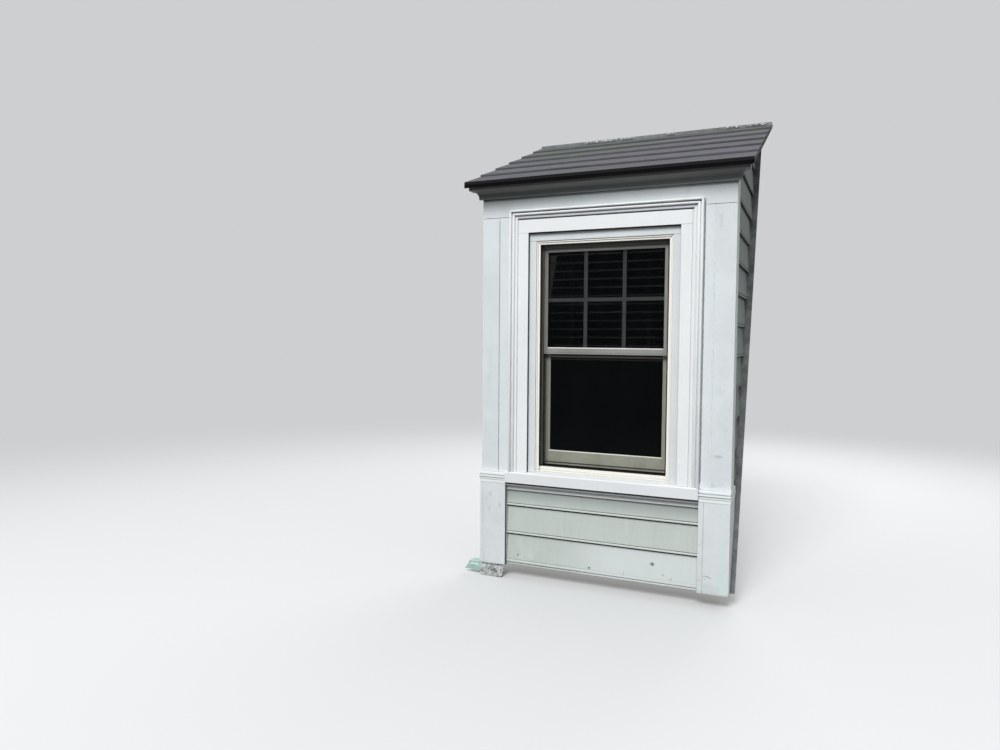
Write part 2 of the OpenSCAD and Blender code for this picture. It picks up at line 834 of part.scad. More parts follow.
// Side jambs with two tracks, a stepped sill and a head between them
module window_frame() color(taupe) at_window() {
    y_back = y_frame + frame_d;
    track = flange_w + track_in;
    both_sides() plan_profile(frame_low_z, frame_top_z) {
        translate([x_frame_out - frame_t, y_frame]) square([frame_t, frame_d]);
        translate([x_frame_out - flange_w, y_frame]) square([flange_w, flange_t]);
        translate([x_frame_out - track, y_upper + sash_t + seat])
            square([track, y_lower - y_upper - sash_t - 2 * seat]);
        translate([x_frame_out - track, y_back - flange_t]) square([track, flange_t]);
    }
    x_between = x_frame_out - track - joint;
    side_profile(-x_between, x_between) polygon([
        [y_frame, frame_low_z], [y_frame, frame_low_z + frame_lip_h],
        [y_frame + flange_t, frame_low_z + frame_lip_h],
        [y_frame + flange_t, frame_low_z + frame_drain_h],
        [y_lower, frame_low_z + frame_drain_h + frame_drain_fall],
        [y_lower, frame_low_z + frame_sill_h],
        [y_back, frame_low_z + frame_sill_h], [y_back, frame_low_z]
    ]);
    box([-x_between, y_frame, frame_top_z - frame_head_h], [x_between, y_back, frame_top_z]);
}

// One bar of a sash seen from its end: X runs from its outer edge to the glass
module bar_outline(w) {
    difference() {
        polygon([
            [0, face_step_d], [face_step_w, face_step_d], [face_step_w, 0], [w - bevel_w, 0],
            [w, bevel_d], [w, sash_t - bevel_d], [w - bevel_w, sash_t], [0, sash_t]
        ]);
        translate([w - groove, pane_in - joint])
            square([groove + over, pane_space + 2 * (pane_t + joint)]);
    }
}

// A rail along X, seen from its end with Y up
module rail(w, half) {
    rotate([90, 0, 90]) linear_extrude(2 * half, center = true) mirror([1, -1]) bar_outline(w);
}

// One sash: two stiles, and rails that are coped over the stiles' bevels
module sash(y0, z0, z1, stile, low_rail, high_rail) {
    x_rail = x_sash - stile - joint;
    x_cope = x_rail + bevel_w;
    both_sides() translate([x_sash, y0, z0]) mirror([1, 0, 0]) linear_extrude(z1 - z0)
        bar_outline(stile);
    intersection() {
        translate([0, y0, 0]) {
            translate([0, 0, z0]) rail(low_rail, x_cope);
            translate([0, 0, z1]) mirror([0, 0, 1]) rail(high_rail, x_cope);
        }
        plan_profile(z0 - over, z1 + over) translate([0, y0]) polygon([
            [x_cope, 0], [x_rail, bevel_d], [x_rail, sash_t - bevel_d], [x_cope, sash_t],
            [-x_cope, sash_t], [-x_rail, sash_t - bevel_d], [-x_rail, bevel_d], [-x_cope, 0]
        ]);
    }
}

module panes(y0, z0, z1, stile, low_rail, high_rail) {
    x1 = x_sash - stile + glass_hold;
    for (y = [y0 + pane_in, y0 + pane_in + pane_t + pane_space])
        box([-x1, y, z0 + low_rail - glass_hold], [x1, y + pane_t, z1 - high_rail + glass_hold]);
}

module upper_sash() color(taupe) at_window() {
    sash(y_upper, meeting_z, upper_top_z, upper_stile, meeting_h, top_rail_h);
}

module upper_panes() color([0.2, 0.25, 0.25, 0.4]) at_window() {
    panes(y_upper, meeting_z, upper_top_z, upper_stile, meeting_h, top_rail_h);
}

module lower_sash() color(taupe) at_window() {
    sash(y_lower, lower_low_z, lower_top_z, lower_stile, bottom_rail_h, meeting_h);
}

module lower_panes() color([0.2, 0.25, 0.25, 0.4]) at_window() {
    panes(y_lower, lower_low_z, lower_top_z, lower_stile, bottom_rail_h, meeting_h);
}

// Flat bars sealed between the upper sash's two panes
grille_t = 6;
module grille_bars() color([0.32, 0.33, 0.33]) at_window() {
    y0 = y_upper + (sash_t - grille_t) / 2;
    x1 = x_sash - upper_stile;
    z0 = meeting_z + meeting_h;
    z1 = upper_top_z - top_rail_h;
    for (i = [1 : panes_x - 1])
        let (x = -x1 + i * 2 * x1 / panes_x)
            box([x - grille_w / 2, y0, z0 - glass_hold],
                [x + grille_w / 2, y0 + grille_t, z1 + glass_hold]);
    for (k = [1 : panes_z - 1])
        let (z = z0 + k * (z1 - z0) / panes_z)
            box([-x1 - glass_hold, y0, z - grille_w / 2],
                [x1 + glass_hold, y0 + grille_t, z + grille_w / 2]);
}

// Cam lock on the lower sash's meeting rail, its keeper on the upper sash, and two lifts
lock_w = 56;
lock_d = 18;
lock_base_h = 4;
lock_boss_h = 6;
lever_l = 34;
lever_w = 8;
lever_h = 4;
cam_w = 12;
cam_h = 3;
keeper_w = 40;
keeper_gap = 0.8;
keeper_d = pane_in - keeper_gap;
keeper_h = 8;
lift_x = 220;
lift_w = 80;
lift_h = 20;
lift_out = 12;
lift_t = 3;
lift_shelf = 12;
lift_up = 30;
module sash_lock() color(taupe) at_window() {
    end_x = (lock_w - lock_d) / 2;
    z_keeper = meeting_z + meeting_h + seat;
    translate([0, y_lower + sash_t / 2, lower_top_z]) {
        for (x = [-end_x, end_x])
            translate([x, 0, 0]) cylinder(h = lock_base_h, d = lock_d, $fn = 32);
        box([-end_x, -lock_d / 2, 0], [end_x, lock_d / 2, lock_base_h]);
        cylinder(h = lock_base_h + lock_boss_h, d = lock_d - over, $fn = 32);
        box([-cam_w / 2, -sash_t / 2 - sash_space + joint, lock_base_h],
            [cam_w / 2, 0, lock_base_h + cam_h]);
        translate([0, 0, lock_base_h + lock_boss_h - lever_h]) {
            box([0, -lever_w / 2, 0], [lever_l, lever_w / 2, lever_h]);
            translate([lever_l, 0, 0]) cylinder(h = lever_h, d = lever_w, $fn = 24);
        }
    }
    box([-keeper_w / 2, y_upper + sash_t - keeper_d, z_keeper],
        [keeper_w / 2, y_upper + sash_t, z_keeper + keeper_h]);
    both_sides() translate([0, y_lower + sash_t, lower_low_z + lift_up])
        side_profile(lift_x - lift_w / 2, lift_x + lift_w / 2) polygon([
            [0, 0], [lift_t, 0], [lift_t, lift_shelf], [lift_out, lift_shelf], [lift_out, lift_h],
            [lift_out - lift_t, lift_h], [lift_out - lift_t, lift_shelf + lift_t],
            [lift_t, lift_shelf + lift_t], [lift_t, lift_h], [0, lift_h]
        ]);
}

// Raised blind with crowned slats on ladders, hung between the jambs on two brackets
blind_gap = 4;
blind_y = y_frame + frame_d + blind_gap;
blind_side = 12;
blind_x = x_open - blind_side;
headrail_h = 44;
rail_ease = 4;
ladder_x = 220;
cord_d = 1.6;
cord_y = blind_y + rail_ease;
blind_d = slat_w + 2 * (rail_ease + cord_d + seat);
ladder_d = slat_w + 2 * (cord_d + seat);
slat_t = 2.5;
slat_rise = 3;
slat_steps = 8;
bottom_bar_h = 14;
blind_top_z = open_top_z - seat;
slats_top_z = blind_top_z - headrail_h;
slat_n = floor((slats_top_z - lower_top_z) / slat_pitch);
blind_low_z = slats_top_z - slat_n * slat_pitch - bottom_bar_h;
bracket_t = 2;
bracket_w = 34;

// A bar along the blind with its front and back corners eased
module blind_bar(z0, z1, ease) {
    side_profile(-blind_x, blind_x) translate([blind_y, z0]) polygon([
        [0, ease], [ease, 0], [blind_d - ease, 0], [blind_d, ease], [blind_d, z1 - z0 - ease],
        [blind_d - ease, z1 - z0], [ease, z1 - z0], [0, z1 - z0 - ease]
    ]);
}

// An angle at the headrail's end: one leg on the jamb, one under the headrail
module blind_bracket() {
    x = x_open - seat;
    z = slats_top_z - seat;
    box([x - bracket_t, blind_y - blind_gap + seat, z - bracket_t], [x, blind_y + blind_d, blind_top_z]);
    box([x - bracket_w, blind_y, z - bracket_t], [x, blind_y + blind_d, z]);
}

module blind_headrail() color([0.8, 0.8, 0.78]) at_window() {
    both_sides() blind_bracket();
    blind_bar(slats_top_z, blind_top_z, rail_ease);
    blind_bar(blind_low_z - bottom_bar_h, blind_low_z, rail_ease);
    both_sides() {
        for (y = [cord_y, cord_y + ladder_d - cord_d])
            box([ladder_x, y, blind_low_z + seat], [ladder_x + cord_d, y + cord_d, slats_top_z - seat]);
        for (i = [1 : slat_n])
            let (z = slats_top_z - i * slat_pitch - seat)
                box([ladder_x, cord_y, z - cord_d], [ladder_x + cord_d, cord_y + ladder_d, z]);
    }
}

function slat_z(k) = slat_rise * (1 - pow(2 * k / slat_steps - 1, 2));
module blind_slats() color([0.8, 0.8, 0.78]) at_window() {
    for (i = [1 : slat_n])
        translate([0, cord_y + cord_d + seat, slats_top_z - i * slat_pitch])
            side_profile(-blind_x, blind_x) polygon(concat(
                [for (k = [0 : slat_steps]) [slat_w * k / slat_steps, slat_z(k)]],
                [for (k = [slat_steps : -1 : 0]) [slat_w * k / slat_steps, slat_z(k) + slat_t]]
            ));
}

// Inside

module cheek_linings() color(plaster) both_sides() {
    side_profile(x_room, x_in) polygon([
        [y_in, (y_in - y_plate0) / wall_run],
        [meet_y(y_plate0, ceiling_down), roof_z(meet_y(y_plate0, ceiling_down), ceiling_down)],
        [y_in, roof_z(y_in, ceiling_down)]
    ]);
}

module ceiling_lining() color(plaster) {
    roof_layer(y_in, y_plate0, rafter_down, ceiling_down, -x_in, x_in);
}

module front_lining() color(plaster) {
    holed_wall(y_in, y_room, x_room - joint, lining_low, ceiling_down, x_jamb, rough_sill_z, head_z);
}

// Flat casing, a stool with a round nose and an apron board on the room side
inside_w = 70;
inside_t = 18;
reveal = 6;
stool_t = 24;
stool_out = 50;
stool_horn = 20;
module inside_casing() color(casing_paint) at_window() {
    x1 = x_open + inside_w;
    stool_low = sill_top_z - reveal;
    stool_top = stool_low + stool_t;
    both_sides()
        box([x_open + reveal, y_room, stool_top + joint],
            [x1, y_room + inside_t, open_top_z + reveal - joint]);
    box([-x1, y_room, open_top_z + reveal], [x1, y_room + inside_t, open_top_z + inside_w]);
    side_profile(-x1 - stool_horn, x1 + stool_horn) {
        translate([y_room, stool_low]) square([stool_out - stool_t / 2, stool_t]);
        translate([y_room + stool_out - stool_t / 2, stool_low + stool_t / 2])
            circle(d = stool_t, $fn = 48);
    }
    box([-x1, y_room, stool_low - joint - inside_w], [x1, y_room + inside_t, stool_low - joint]);
}

// Metal

// Bent pieces up each cheek: one leg under the siding, one over the slates
flash_t = 0.8;
flash_leg = 50;
flash_up = 100;
flash_in = 8;
flash_len = 178;
flash_gap = 0.1;
module step_flashing() color(lead_grey) both_sides() intersection() {
    run = (meet_y(y_slate0, edge_down) - y_slate0) / sin(slope_deg);
    translate([x_sheath + flash_gap, y_slate0, 0]) rotate([-slope_deg, 0, 0]) translate([0, flash_in, 0])
        for (i = [0 : floor(run / flash_len)])
            translate([0, 0, i * flash_len]) linear_extrude(flash_len - joint) {
                translate([0, -flash_up]) square([flash_t, flash_up]);
                translate([0, -flash_t]) square([flash_leg, flash_t]);
            }
    box([0, y_sheath + seat, 0], [far, far, top_z]);
    under_roof(edge_down + seat, 0, far);
}

// Bent sheet under the left plinth: a tab stands out past the corner, with a slot and a dent
apron_t = 1.2;
apron_in = 110;
tab_back = 57;
tab_out = 65;
tab_foot_out = 96;
tab_in = 6;
tab_h = 50;
slot_w = 52;
slot_h = 7;
slot_down = 12;
dent_h = 16;
dent_d = 0.6;
slot_left = 16;
module copper_apron() color(verdigris) {
    top = plinth_low - seat;
    x_tab = -x_out + tab_in;
    box([-x_out - tab_out, y_plinth, top - apron_t], [-x_skin, y_plinth + tab_back, top]);
    box([-x_out, y_plinth, top - apron_t], [-x_out + apron_in, y_sheath - joint, top]);
    difference() {
        front_profile(y_plinth - apron_t, y_plinth) polygon([
            [-x_out - tab_out, top], [x_tab, top], [x_tab, top - tab_h],
            [-x_out - tab_foot_out, top - tab_h]
        ]);
        translate([x_tab - slot_w, 0, top - slot_down - slot_h]) {
            box([-slot_left, -far, 0], [slot_w - slot_left, far, slot_h]);
            box([-slot_left, -far, -slot_h / 2 - dent_h],
                [slot_w - slot_left, y_plinth - apron_t + dent_d, -slot_h / 2]);
        }
    }
}

// Lump of solder and sheet that patches the joint under the left plinth
patch_w = 140;
patch_h = 74;
patch_left_h = 68;
patch_t = 3;
patch_lean = 22;
patch_back = 14;
patch_r = 18;
module apron_patch() color(bare_metal) {
    x0 = -x_out + tab_in + joint;
    z0 = plinth_low - 2 * seat - apron_t;
    y0 = y_plinth + patch_back;
    box([x0, y0 - patch_t, z0 - apron_t], [x0 + patch_w, y_sheath - joint, z0]);
    translate([x0, y0, z0]) rotate([-patch_lean, 0, 0]) front_profile(-patch_t, 0) polygon(concat(
        [[0, -apron_t], [0, -patch_left_h]],
        [for (a = [-90 : 15 : 0])
            [patch_w - patch_r + patch_r * cos(a), -patch_h + patch_r + patch_r * sin(a)]],
        [[patch_w, -apron_t]]
    ));
}

sole_plate();
front_studs();
window_header();
top_plates();
cheek_studs();
left_sloping_plate();
right_sloping_plate();
rafters();
roof_ledger();
front_sheathing();
cheek_sheathing();
roof_deck();
roof_courses();
roof_edge();
crown_moulding();
frieze_board();
left_corner_board();
right_corner_board();
left_plinth_board();
right_plinth_board();
plinth_caps();
backing_boards();
flat_casing();
band_moulding();
window_stops();
window_jambs();
window_sill();
under_sill_moulding();
panel_siding();
left_cheek_siding();
right_cheek_siding();
window_frame();
upper_sash();
upper_panes();
grille_bars();
lower_sash();
lower_panes();
sash_lock();
blind_headrail();
blind_slats();
cheek_linings();
ceiling_lining();
front_lining();
inside_casing();
step_flashing();
head_flashing();
copper_apron();
apron_patch();
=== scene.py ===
"""The looks of a wall dormer with a double-hung window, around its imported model.

Lengths are metres in the part's own frame: X across the front, Y into the building, Z up.
Colours are written as a display shows them, from 0 to 255. A mask is 1 where a tone covers what
lies below it and 0 where it doesn't.
"""

import math
import random

import bpy
from mathutils import Matrix, Vector, noise


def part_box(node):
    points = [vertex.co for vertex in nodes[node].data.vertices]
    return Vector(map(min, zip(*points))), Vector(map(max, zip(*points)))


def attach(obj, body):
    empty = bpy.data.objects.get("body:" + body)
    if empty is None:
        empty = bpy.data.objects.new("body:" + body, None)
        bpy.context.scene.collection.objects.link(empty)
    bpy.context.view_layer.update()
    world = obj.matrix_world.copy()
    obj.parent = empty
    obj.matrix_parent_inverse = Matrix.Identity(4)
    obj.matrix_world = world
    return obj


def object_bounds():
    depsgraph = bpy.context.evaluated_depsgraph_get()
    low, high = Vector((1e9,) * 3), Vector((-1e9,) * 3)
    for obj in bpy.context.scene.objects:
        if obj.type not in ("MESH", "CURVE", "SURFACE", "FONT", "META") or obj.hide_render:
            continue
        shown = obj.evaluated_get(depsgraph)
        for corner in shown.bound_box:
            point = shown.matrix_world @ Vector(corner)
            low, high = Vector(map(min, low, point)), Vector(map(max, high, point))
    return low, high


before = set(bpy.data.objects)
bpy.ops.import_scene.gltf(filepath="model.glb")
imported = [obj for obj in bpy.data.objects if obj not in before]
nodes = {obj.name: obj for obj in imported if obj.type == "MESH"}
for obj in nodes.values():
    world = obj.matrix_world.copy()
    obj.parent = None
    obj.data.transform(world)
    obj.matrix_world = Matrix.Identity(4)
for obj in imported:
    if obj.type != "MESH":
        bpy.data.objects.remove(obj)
cad_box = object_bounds()

# Camera, solved from the photograph's vanishing points
IMAGE_W = 1000
FOCAL_PX = 717.2
SENSOR_MM = 36
CAMERA_AT = Vector((1.073, -3.8425, 1.308))
CAMERA_TURN = math.radians(23.82)
CAMERA_TILT = math.radians(-2.96)
CAMERA_ROLL = math.radians(0.38)

# Places that the finishes and the small pieces refer to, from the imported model
BOARD_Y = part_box("frieze_board")[0].y
FRIEZE_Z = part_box("frieze_board")[0].z
PLINTH_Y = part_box("left_plinth_board")[0].y
PLINTH_IN_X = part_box("left_plinth_board")[1].x
PLINTH_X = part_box("right_plinth_board")[0].x
PLINTH_TOP_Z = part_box("right_plinth_board")[1].z
CORNER_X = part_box("right_corner_board")[0].x
OUTER_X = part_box("right_corner_board")[1].x
CAP_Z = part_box("plinth_caps")[1].z
EAVE_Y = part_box("roof_courses")[0].y
SILL_NOSE_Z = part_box("window_sill")[0].z
UPPER_SASH_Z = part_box("upper_sash")[0].z
STOP_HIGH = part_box("window_stops")[1]
BAND_LOW, BAND_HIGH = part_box("band_moulding")
CASING_LOW, CASING_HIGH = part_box("flat_casing")
SASH_LOW, SASH_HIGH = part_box("lower_sash")
CROWN_LOW, CROWN_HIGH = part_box("crown_moulding")
UNDER_LOW, UNDER_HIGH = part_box("under_sill_moulding")
FRAME_LOW, FRAME_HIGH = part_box("window_frame")
HEAD_LOW, HEAD_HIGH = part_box("head_flashing")

# Sizes of pieces, taken or worked out from the part's source
CASING_W = 0.057
HEAD_CASING_H = 0.073
STOP_W = 0.0197
CAP_STEP = 0.014
RAIL_H = 0.081
MEETING_H = 0.037
CLAP_H = 0.163
PANEL_FIRST_Z = 0.186
CHEEK_FIRST_Z = 0.4
WALL_LEAN = math.radians(22.5)
ROOF_PITCH = math.radians(21.6)

# The window's middle line, the sill's top, and for the casing and the stops half the clear width
# and the height of their head's underside
WINDOW_X = (CASING_LOW.x + CASING_HIGH.x) / 2
CASING_IN = CASING_HIGH.x - WINDOW_X - CASING_W
CASING_HEAD_Z = CASING_HIGH.z - HEAD_CASING_H
STOP_IN = STOP_HIGH.x - WINDOW_X - STOP_W
STOP_HEAD_Z = STOP_HIGH.z - STOP_W
SILL_TOP_Z = FRAME_LOW.z

RNG = random.Random(11)


def srgb(r, g, b):
    """A display colour from 0 to 255, in linear light."""

    def linear(c):
        c /= 255
        return c / 12.92 if c <= 0.04045 else ((c + 0.055) / 1.055) ** 2.4

    return (linear(r), linear(g), linear(b), 1.0)


def shade(colour, k):
    return (colour[0] * k, colour[1] * k, colour[2] * k, 1.0)


# Colours of the real surfaces
TRIM_WHITE = srgb(222, 228, 230)
CASING_WHITE = srgb(236, 239, 240)
CAP_WHITE = srgb(236, 241, 242)
SILL_WHITE = srgb(228, 231, 233)
STOP_CREAM = srgb(246, 245, 237)
PANEL_GREEN_WHITE = srgb(195, 203, 198)
# Painted shade: the cheeks' paint is laid much darker than the panel's, for the shade that they
# stand in
CHEEK_SHADED_GREY = srgb(124, 133, 129)
TAUPE_FRAME = srgb(104, 103, 96)
TAUPE_FRAME_DULL = srgb(90, 89, 82)
TAUPE_SASH = srgb(146, 147, 144)
TAUPE_SASH_DULL = srgb(130, 130, 126)
TAUPE_LOWER = srgb(148, 149, 138)
TAUPE_LOWER_DULL = srgb(130, 131, 116)
ROOF_PURPLE = srgb(92, 92, 98)
ROOF_GREEN = srgb(88, 93, 88)
EDGE_BLACK = srgb(7, 7, 9)
LEAD = srgb(120, 124, 126)
LEAD_OXIDE = srgb(158, 162, 162)
VERDIGRIS = srgb(178, 206, 198)
VERDIGRIS_DULL = srgb(146, 184, 174)
VERDIGRIS_DARK = srgb(92, 132, 120)
BARE_METAL = srgb(214, 217, 217)
GRILLE_GREY = srgb(234, 238, 238)
BLIND_WHITE = srgb(240, 242, 238)
PINE = srgb(206, 172, 124)
PINE_DARK = srgb(166, 122, 76)
PLY = srgb(196, 164, 118)
PLY_DARK = srgb(160, 122, 78)
PLASTER = srgb(226, 222, 212)
BACKGROUND = srgb(206, 207, 208)

# Tones of dirt, of painted shade and of black paint
DIRT_AND_SHADE_GREY = srgb(74, 76, 70)
CORNER_SHADE = srgb(46, 50, 48)
BLOTCH_GREY = srgb(176, 184, 182)
RAIN_GREY = srgb(150, 156, 150)
GROOVE_SHADE = srgb(60, 66, 63)
LAP_SHADE = srgb(34, 38, 36)
OPENING_BLACK = srgb(10, 10, 9)
UNDER_HEAD_BLACK = srgb(12, 13, 13)
TRACK_BLACK = srgb(8, 8, 8)


class Nodes:
    """Short calls for the shader nodes of a material or of the world."""

    def __init__(self, owner):
        owner.use_nodes = True
        self.nodes = owner.node_tree.nodes
        self.links = owner.node_tree.links

    def feed(self, socket, value):
        if isinstance(value, bpy.types.NodeSocket):
            self.links.new(value, socket)
        else:
            socket.default_value = value

    def add(self, kind, values=(), **settings):
        """A shader node with its settings and its inputs, by name or by number."""
        node = self.nodes.new("ShaderNode" + kind)
        for key, value in settings.items():
            setattr(node, key, value)
        for key, value in dict(values).items():
            self.feed(node.inputs[key], value)
        return node

    def calc(self, operation, a, b=0.0):
        return self.add("Math", {0: a, 1: b}, operation=operation).outputs[0]

    def times(self, *values):
        product = values[0]
        for value in values[1:]:
            product = self.calc("MULTIPLY", product, value)
        return product

    def plus(self, a, b, k):
        """The first value plus k times the second one."""
        return self.calc("ADD", a, self.calc("MULTIPLY", b, k))

    def gap(self, a, b):
        """How far two values lie apart."""
        return self.calc("ABSOLUTE", self.calc("SUBTRACT", a, b))

    def ramp(self, value, start, end):
        """0 on the start's side and 1 on the end's side, smooth in between."""
        values = {0: value, 1: start, 2: end, 3: 0.0, 4: 1.0}
        return self.add("MapRange", values, interpolation_type="SMOOTHSTEP").outputs[0]

    def near(self, value, middle, width):
        """1 at a value's middle, fading to 0 at that distance from it."""
        return self.ramp(self.gap(value, middle), width, 0.0)

    def mix(self, share, a, b):
        return self.add("Mix", {0: share, 6: a, 7: b}, data_type="RGBA").outputs[2]

    def lay(self, col, tone, *masks):
        """A colour with a tone laid over it, as strong as the product of the masks."""
        return self.mix(self.times(*masks), col, tone)


class Finish(Nodes):
    """One procedural material. Coordinates are metres in the part's frame."""

    def __init__(self, name, rough=0.5, metal=0.0, specular=0.4):
        self.mat = bpy.data.materials.new(name)
        super().__init__(self.mat)
        self.bsdf = self.nodes["Principled BSDF"]
        self.bsdf.inputs["Roughness"].default_value = rough
        self.bsdf.inputs["Metallic"].default_value = metal
        self.bsdf.inputs["Specular IOR Level"].default_value = specular
        self.place = self.add("TexCoord").outputs["Object"]
        self.normal = None

    def axis(self, letter):
        return self.add("SeparateXYZ", {0: self.place}).outputs["XYZ".index(letter)]

    def stretched(self, x, y, z, turn=0.0, place=None):
        """Coordinates turned about X, then scaled: a small scale draws noise out that way."""
        vector = place or self.place
        if turn:
            turned = {"Vector": vector, "Angle": turn}
            vector = self.add("VectorRotate", turned, rotation_type="X_AXIS").outputs[0]
        scaled = {0: vector, 1: (x, y, z)}
        return self.add("VectorMath", scaled, operation="MULTIPLY").outputs[0]

    def noise(self, scale, detail=3.0, rough=0.55, place=None, warp=0.0):
        values = {
            "Vector": place or self.place,
            "Scale": scale,
            "Detail": detail,
            "Roughness": rough,
            "Distortion": warp,
        }
        return self.add("TexNoise", values).outputs[0]

    def patches(self, scale, detail, rough, start, end, stretch=None, warp=0.0):
        """A soft mask cut from noise, which runs from 0 to 1 between a start and an end."""
        place = self.stretched(*stretch) if stretch else None
        return self.ramp(self.noise(scale, detail, rough, place, warp), start, end)

    def cells(self, place, scale, feature):
        values = {"Vector": place, "Scale": scale}
        return self.add("TexVoronoi", values, feature=feature).outputs[0]

    def per_board(self):
        """A random number for each separate board of a node."""
        return self.add("NewGeometry").outputs["Random Per Island"]

    def tucked_in(self, distance, low=0.35, high=0.9):
        """1 in corners and grooves, 0 on open faces, from ambient occlusion. The finishes lay
        painted shade with it.
        """
        ao = self.add("AmbientOcclusion", {"Distance": distance}, samples=6)
        return self.ramp(ao.outputs["AO"], high, low)

    def edges(self, radius, low=0.01, high=0.12):
        """1 along sharp edges, 0 on flat faces. The metal finishes lay painted highlights with it.
        """
        rounded = self.add("Bevel", {"Radius": radius}, samples=4).outputs[0]
        plain = self.add("NewGeometry").outputs["Normal"]
        dot = self.add("VectorMath", {0: rounded, 1: plain}, operation="DOT_PRODUCT")
        return self.ramp(self.calc("SUBTRACT", 1.0, dot.outputs["Value"]), low, high)

    def colour(self, value):
        self.feed(self.bsdf.inputs["Base Color"], value)

    def rough(self, share, low, high):
        values = {0: share, 1: 0.0, 2: 1.0, 3: low, 4: high}
        self.feed(self.bsdf.inputs["Roughness"], self.add("MapRange", values).outputs[0])

    def bump(self, height, distance, strength):
        """Relief on top of the relief that the finish has so far."""
        values = {"Strength": strength, "Distance": distance, "Height": height}
        if self.normal is not None:
            values["Normal"] = self.normal
        self.normal = self.add("Bump", values).outputs[0]
        self.feed(self.bsdf.inputs["Normal"], self.normal)


# How the grain runs: the scale on each axis, and the turn about X that lines it up
GRAINS = {
    "x": (0.05, 1.0, 1.0, 0.0),
    "y": (1.0, 0.05, 1.0, 0.0),
    "z": (1.0, 1.0, 0.05, 0.0),
    "roof": (1.0, 0.05, 1.0, -ROOF_PITCH),
    "lean": (1.0, 1.0, 0.05, WALL_LEAN),
}


def off_middle(f):
    """How far a point lies from the window's middle line."""
    return f.gap(f.axis("X"), WINDOW_X)


def mitred(f, half, top):
    """1 in the head of a mitred frame round the window, 0 in its sides."""
    to_side = f.calc("SUBTRACT", half, off_middle(f))
    return f.calc("LESS_THAN", f.calc("SUBTRACT", top, f.axis("Z")), to_side)


def butted(f, half, low):
    """1 in a head piece above a height, that far to both sides of the window's middle."""
    within = f.calc("LESS_THAN", off_middle(f), half)
    return f.times(within, f.calc("GREATER_THAN", f.axis("Z"), low))


# The head of each frame round the window: how it is joined, its half width, and the height of its
# top where it is mitred or of its foot where it is butted
BAND_HEAD = (mitred, BAND_HIGH.x - WINDOW_X, BAND_HIGH.z)
STOP_HEAD = (mitred, STOP_HIGH.x - WINDOW_X, STOP_HIGH.z)
CASING_HEAD = (butted, 1.0, CASING_HEAD_Z)
BACKING_HEAD = (butted, CASING_HIGH.x - WINDOW_X - CASING_W / 2, STOP_HIGH.z)
GRAIN_SHIFT = 7.0


def grain_place(f, grain, head=None):
    """Coordinates along a board's grain. A frame's head piece runs across."""
    x, y, z, turn = GRAINS[grain]
    shift = {0: f.calc("MULTIPLY", f.per_board(), GRAIN_SHIFT), 2: f.per_board()}
    island = f.add("CombineXYZ", shift).outputs[0]
    shifted = f.add("VectorMath", {0: f.place, 1: island}, operation="ADD").outputs[0]
    along = f.stretched(x, y, z, turn, shifted)
    if head is None:
        return along
    find, half, height = head
    across = f.stretched(*GRAINS["x"], place=shifted)
    either = {0: find(f, half, height), 4: along, 5: across}
    return f.add("Mix", either, data_type="VECTOR").outputs[1]


def painted_wood(name, paint, grain, age=1.0, head=None, rough=0.5, marks=None, grime_and_shade=0.35):
    """Brushed paint on a board: uneven fading, blotches, rain marks, specks, and painted shade in
    corners.
    """
    f = Finish(name, specular=0.35)
    brush = f.noise(150, 3, 0.6, grain_place(f, grain, head))
    col = f.lay(paint, shade(paint, 1 - 0.09 * age), f.patches(3.1, 4, 0.6, 0.35, 0.68))
    col = f.lay(col, shade(paint, 0.8), f.per_board(), 0.12 * age)
    col = f.lay(col, BLOTCH_GREY, f.patches(17, 5, 0.62, 0.52, 0.74), 0.16 * age)
    col = f.lay(col, shade(paint, 0.82), f.ramp(brush, 0.45, 0.8), 0.16)
    runs = f.patches(26, 4, 0.6, 0.56, 0.8, (1, 1, 0.045))
    col = f.lay(col, RAIN_GREY, runs, 0.22 * age)
    specks = f.times(f.patches(330, 2, 0.5, 0.66, 0.72), f.patches(12, 3, 0.55, 0.45, 0.62))
    col = f.lay(col, DIRT_AND_SHADE_GREY, specks, 0.55 * age)
    if marks:
        col = marks(f, col)
    # Painted shade in corners and grooves, from ambient occlusion
    f.colour(f.lay(col, CORNER_SHADE, f.tucked_in(0.008), grime_and_shade))
    f.rough(f.noise(9, 3), rough - 0.08, rough + 0.14)
    f.bump(brush, 0.00025, 0.5)
    f.bump(f.noise(700, 2, 0.5), 0.00008, 0.4)
    return f.mat


# Heights on a clapboard as shares of its exposure, 0 at its lower edge: the start and the end of
# each soft edge, or the middle and the half width
BEAD_LOW = (0.004, 0.016)
BEAD_HIGH = (0.074, 0.062)
BEAD_GROOVE = (0.078, 0.018)
UNDER_BUTT_SHADE = (0.9, 1.0)
LAP_GAP = (0.942, 0.952)
LAP_GAP_FOOT = (0.0035, 0.0015)


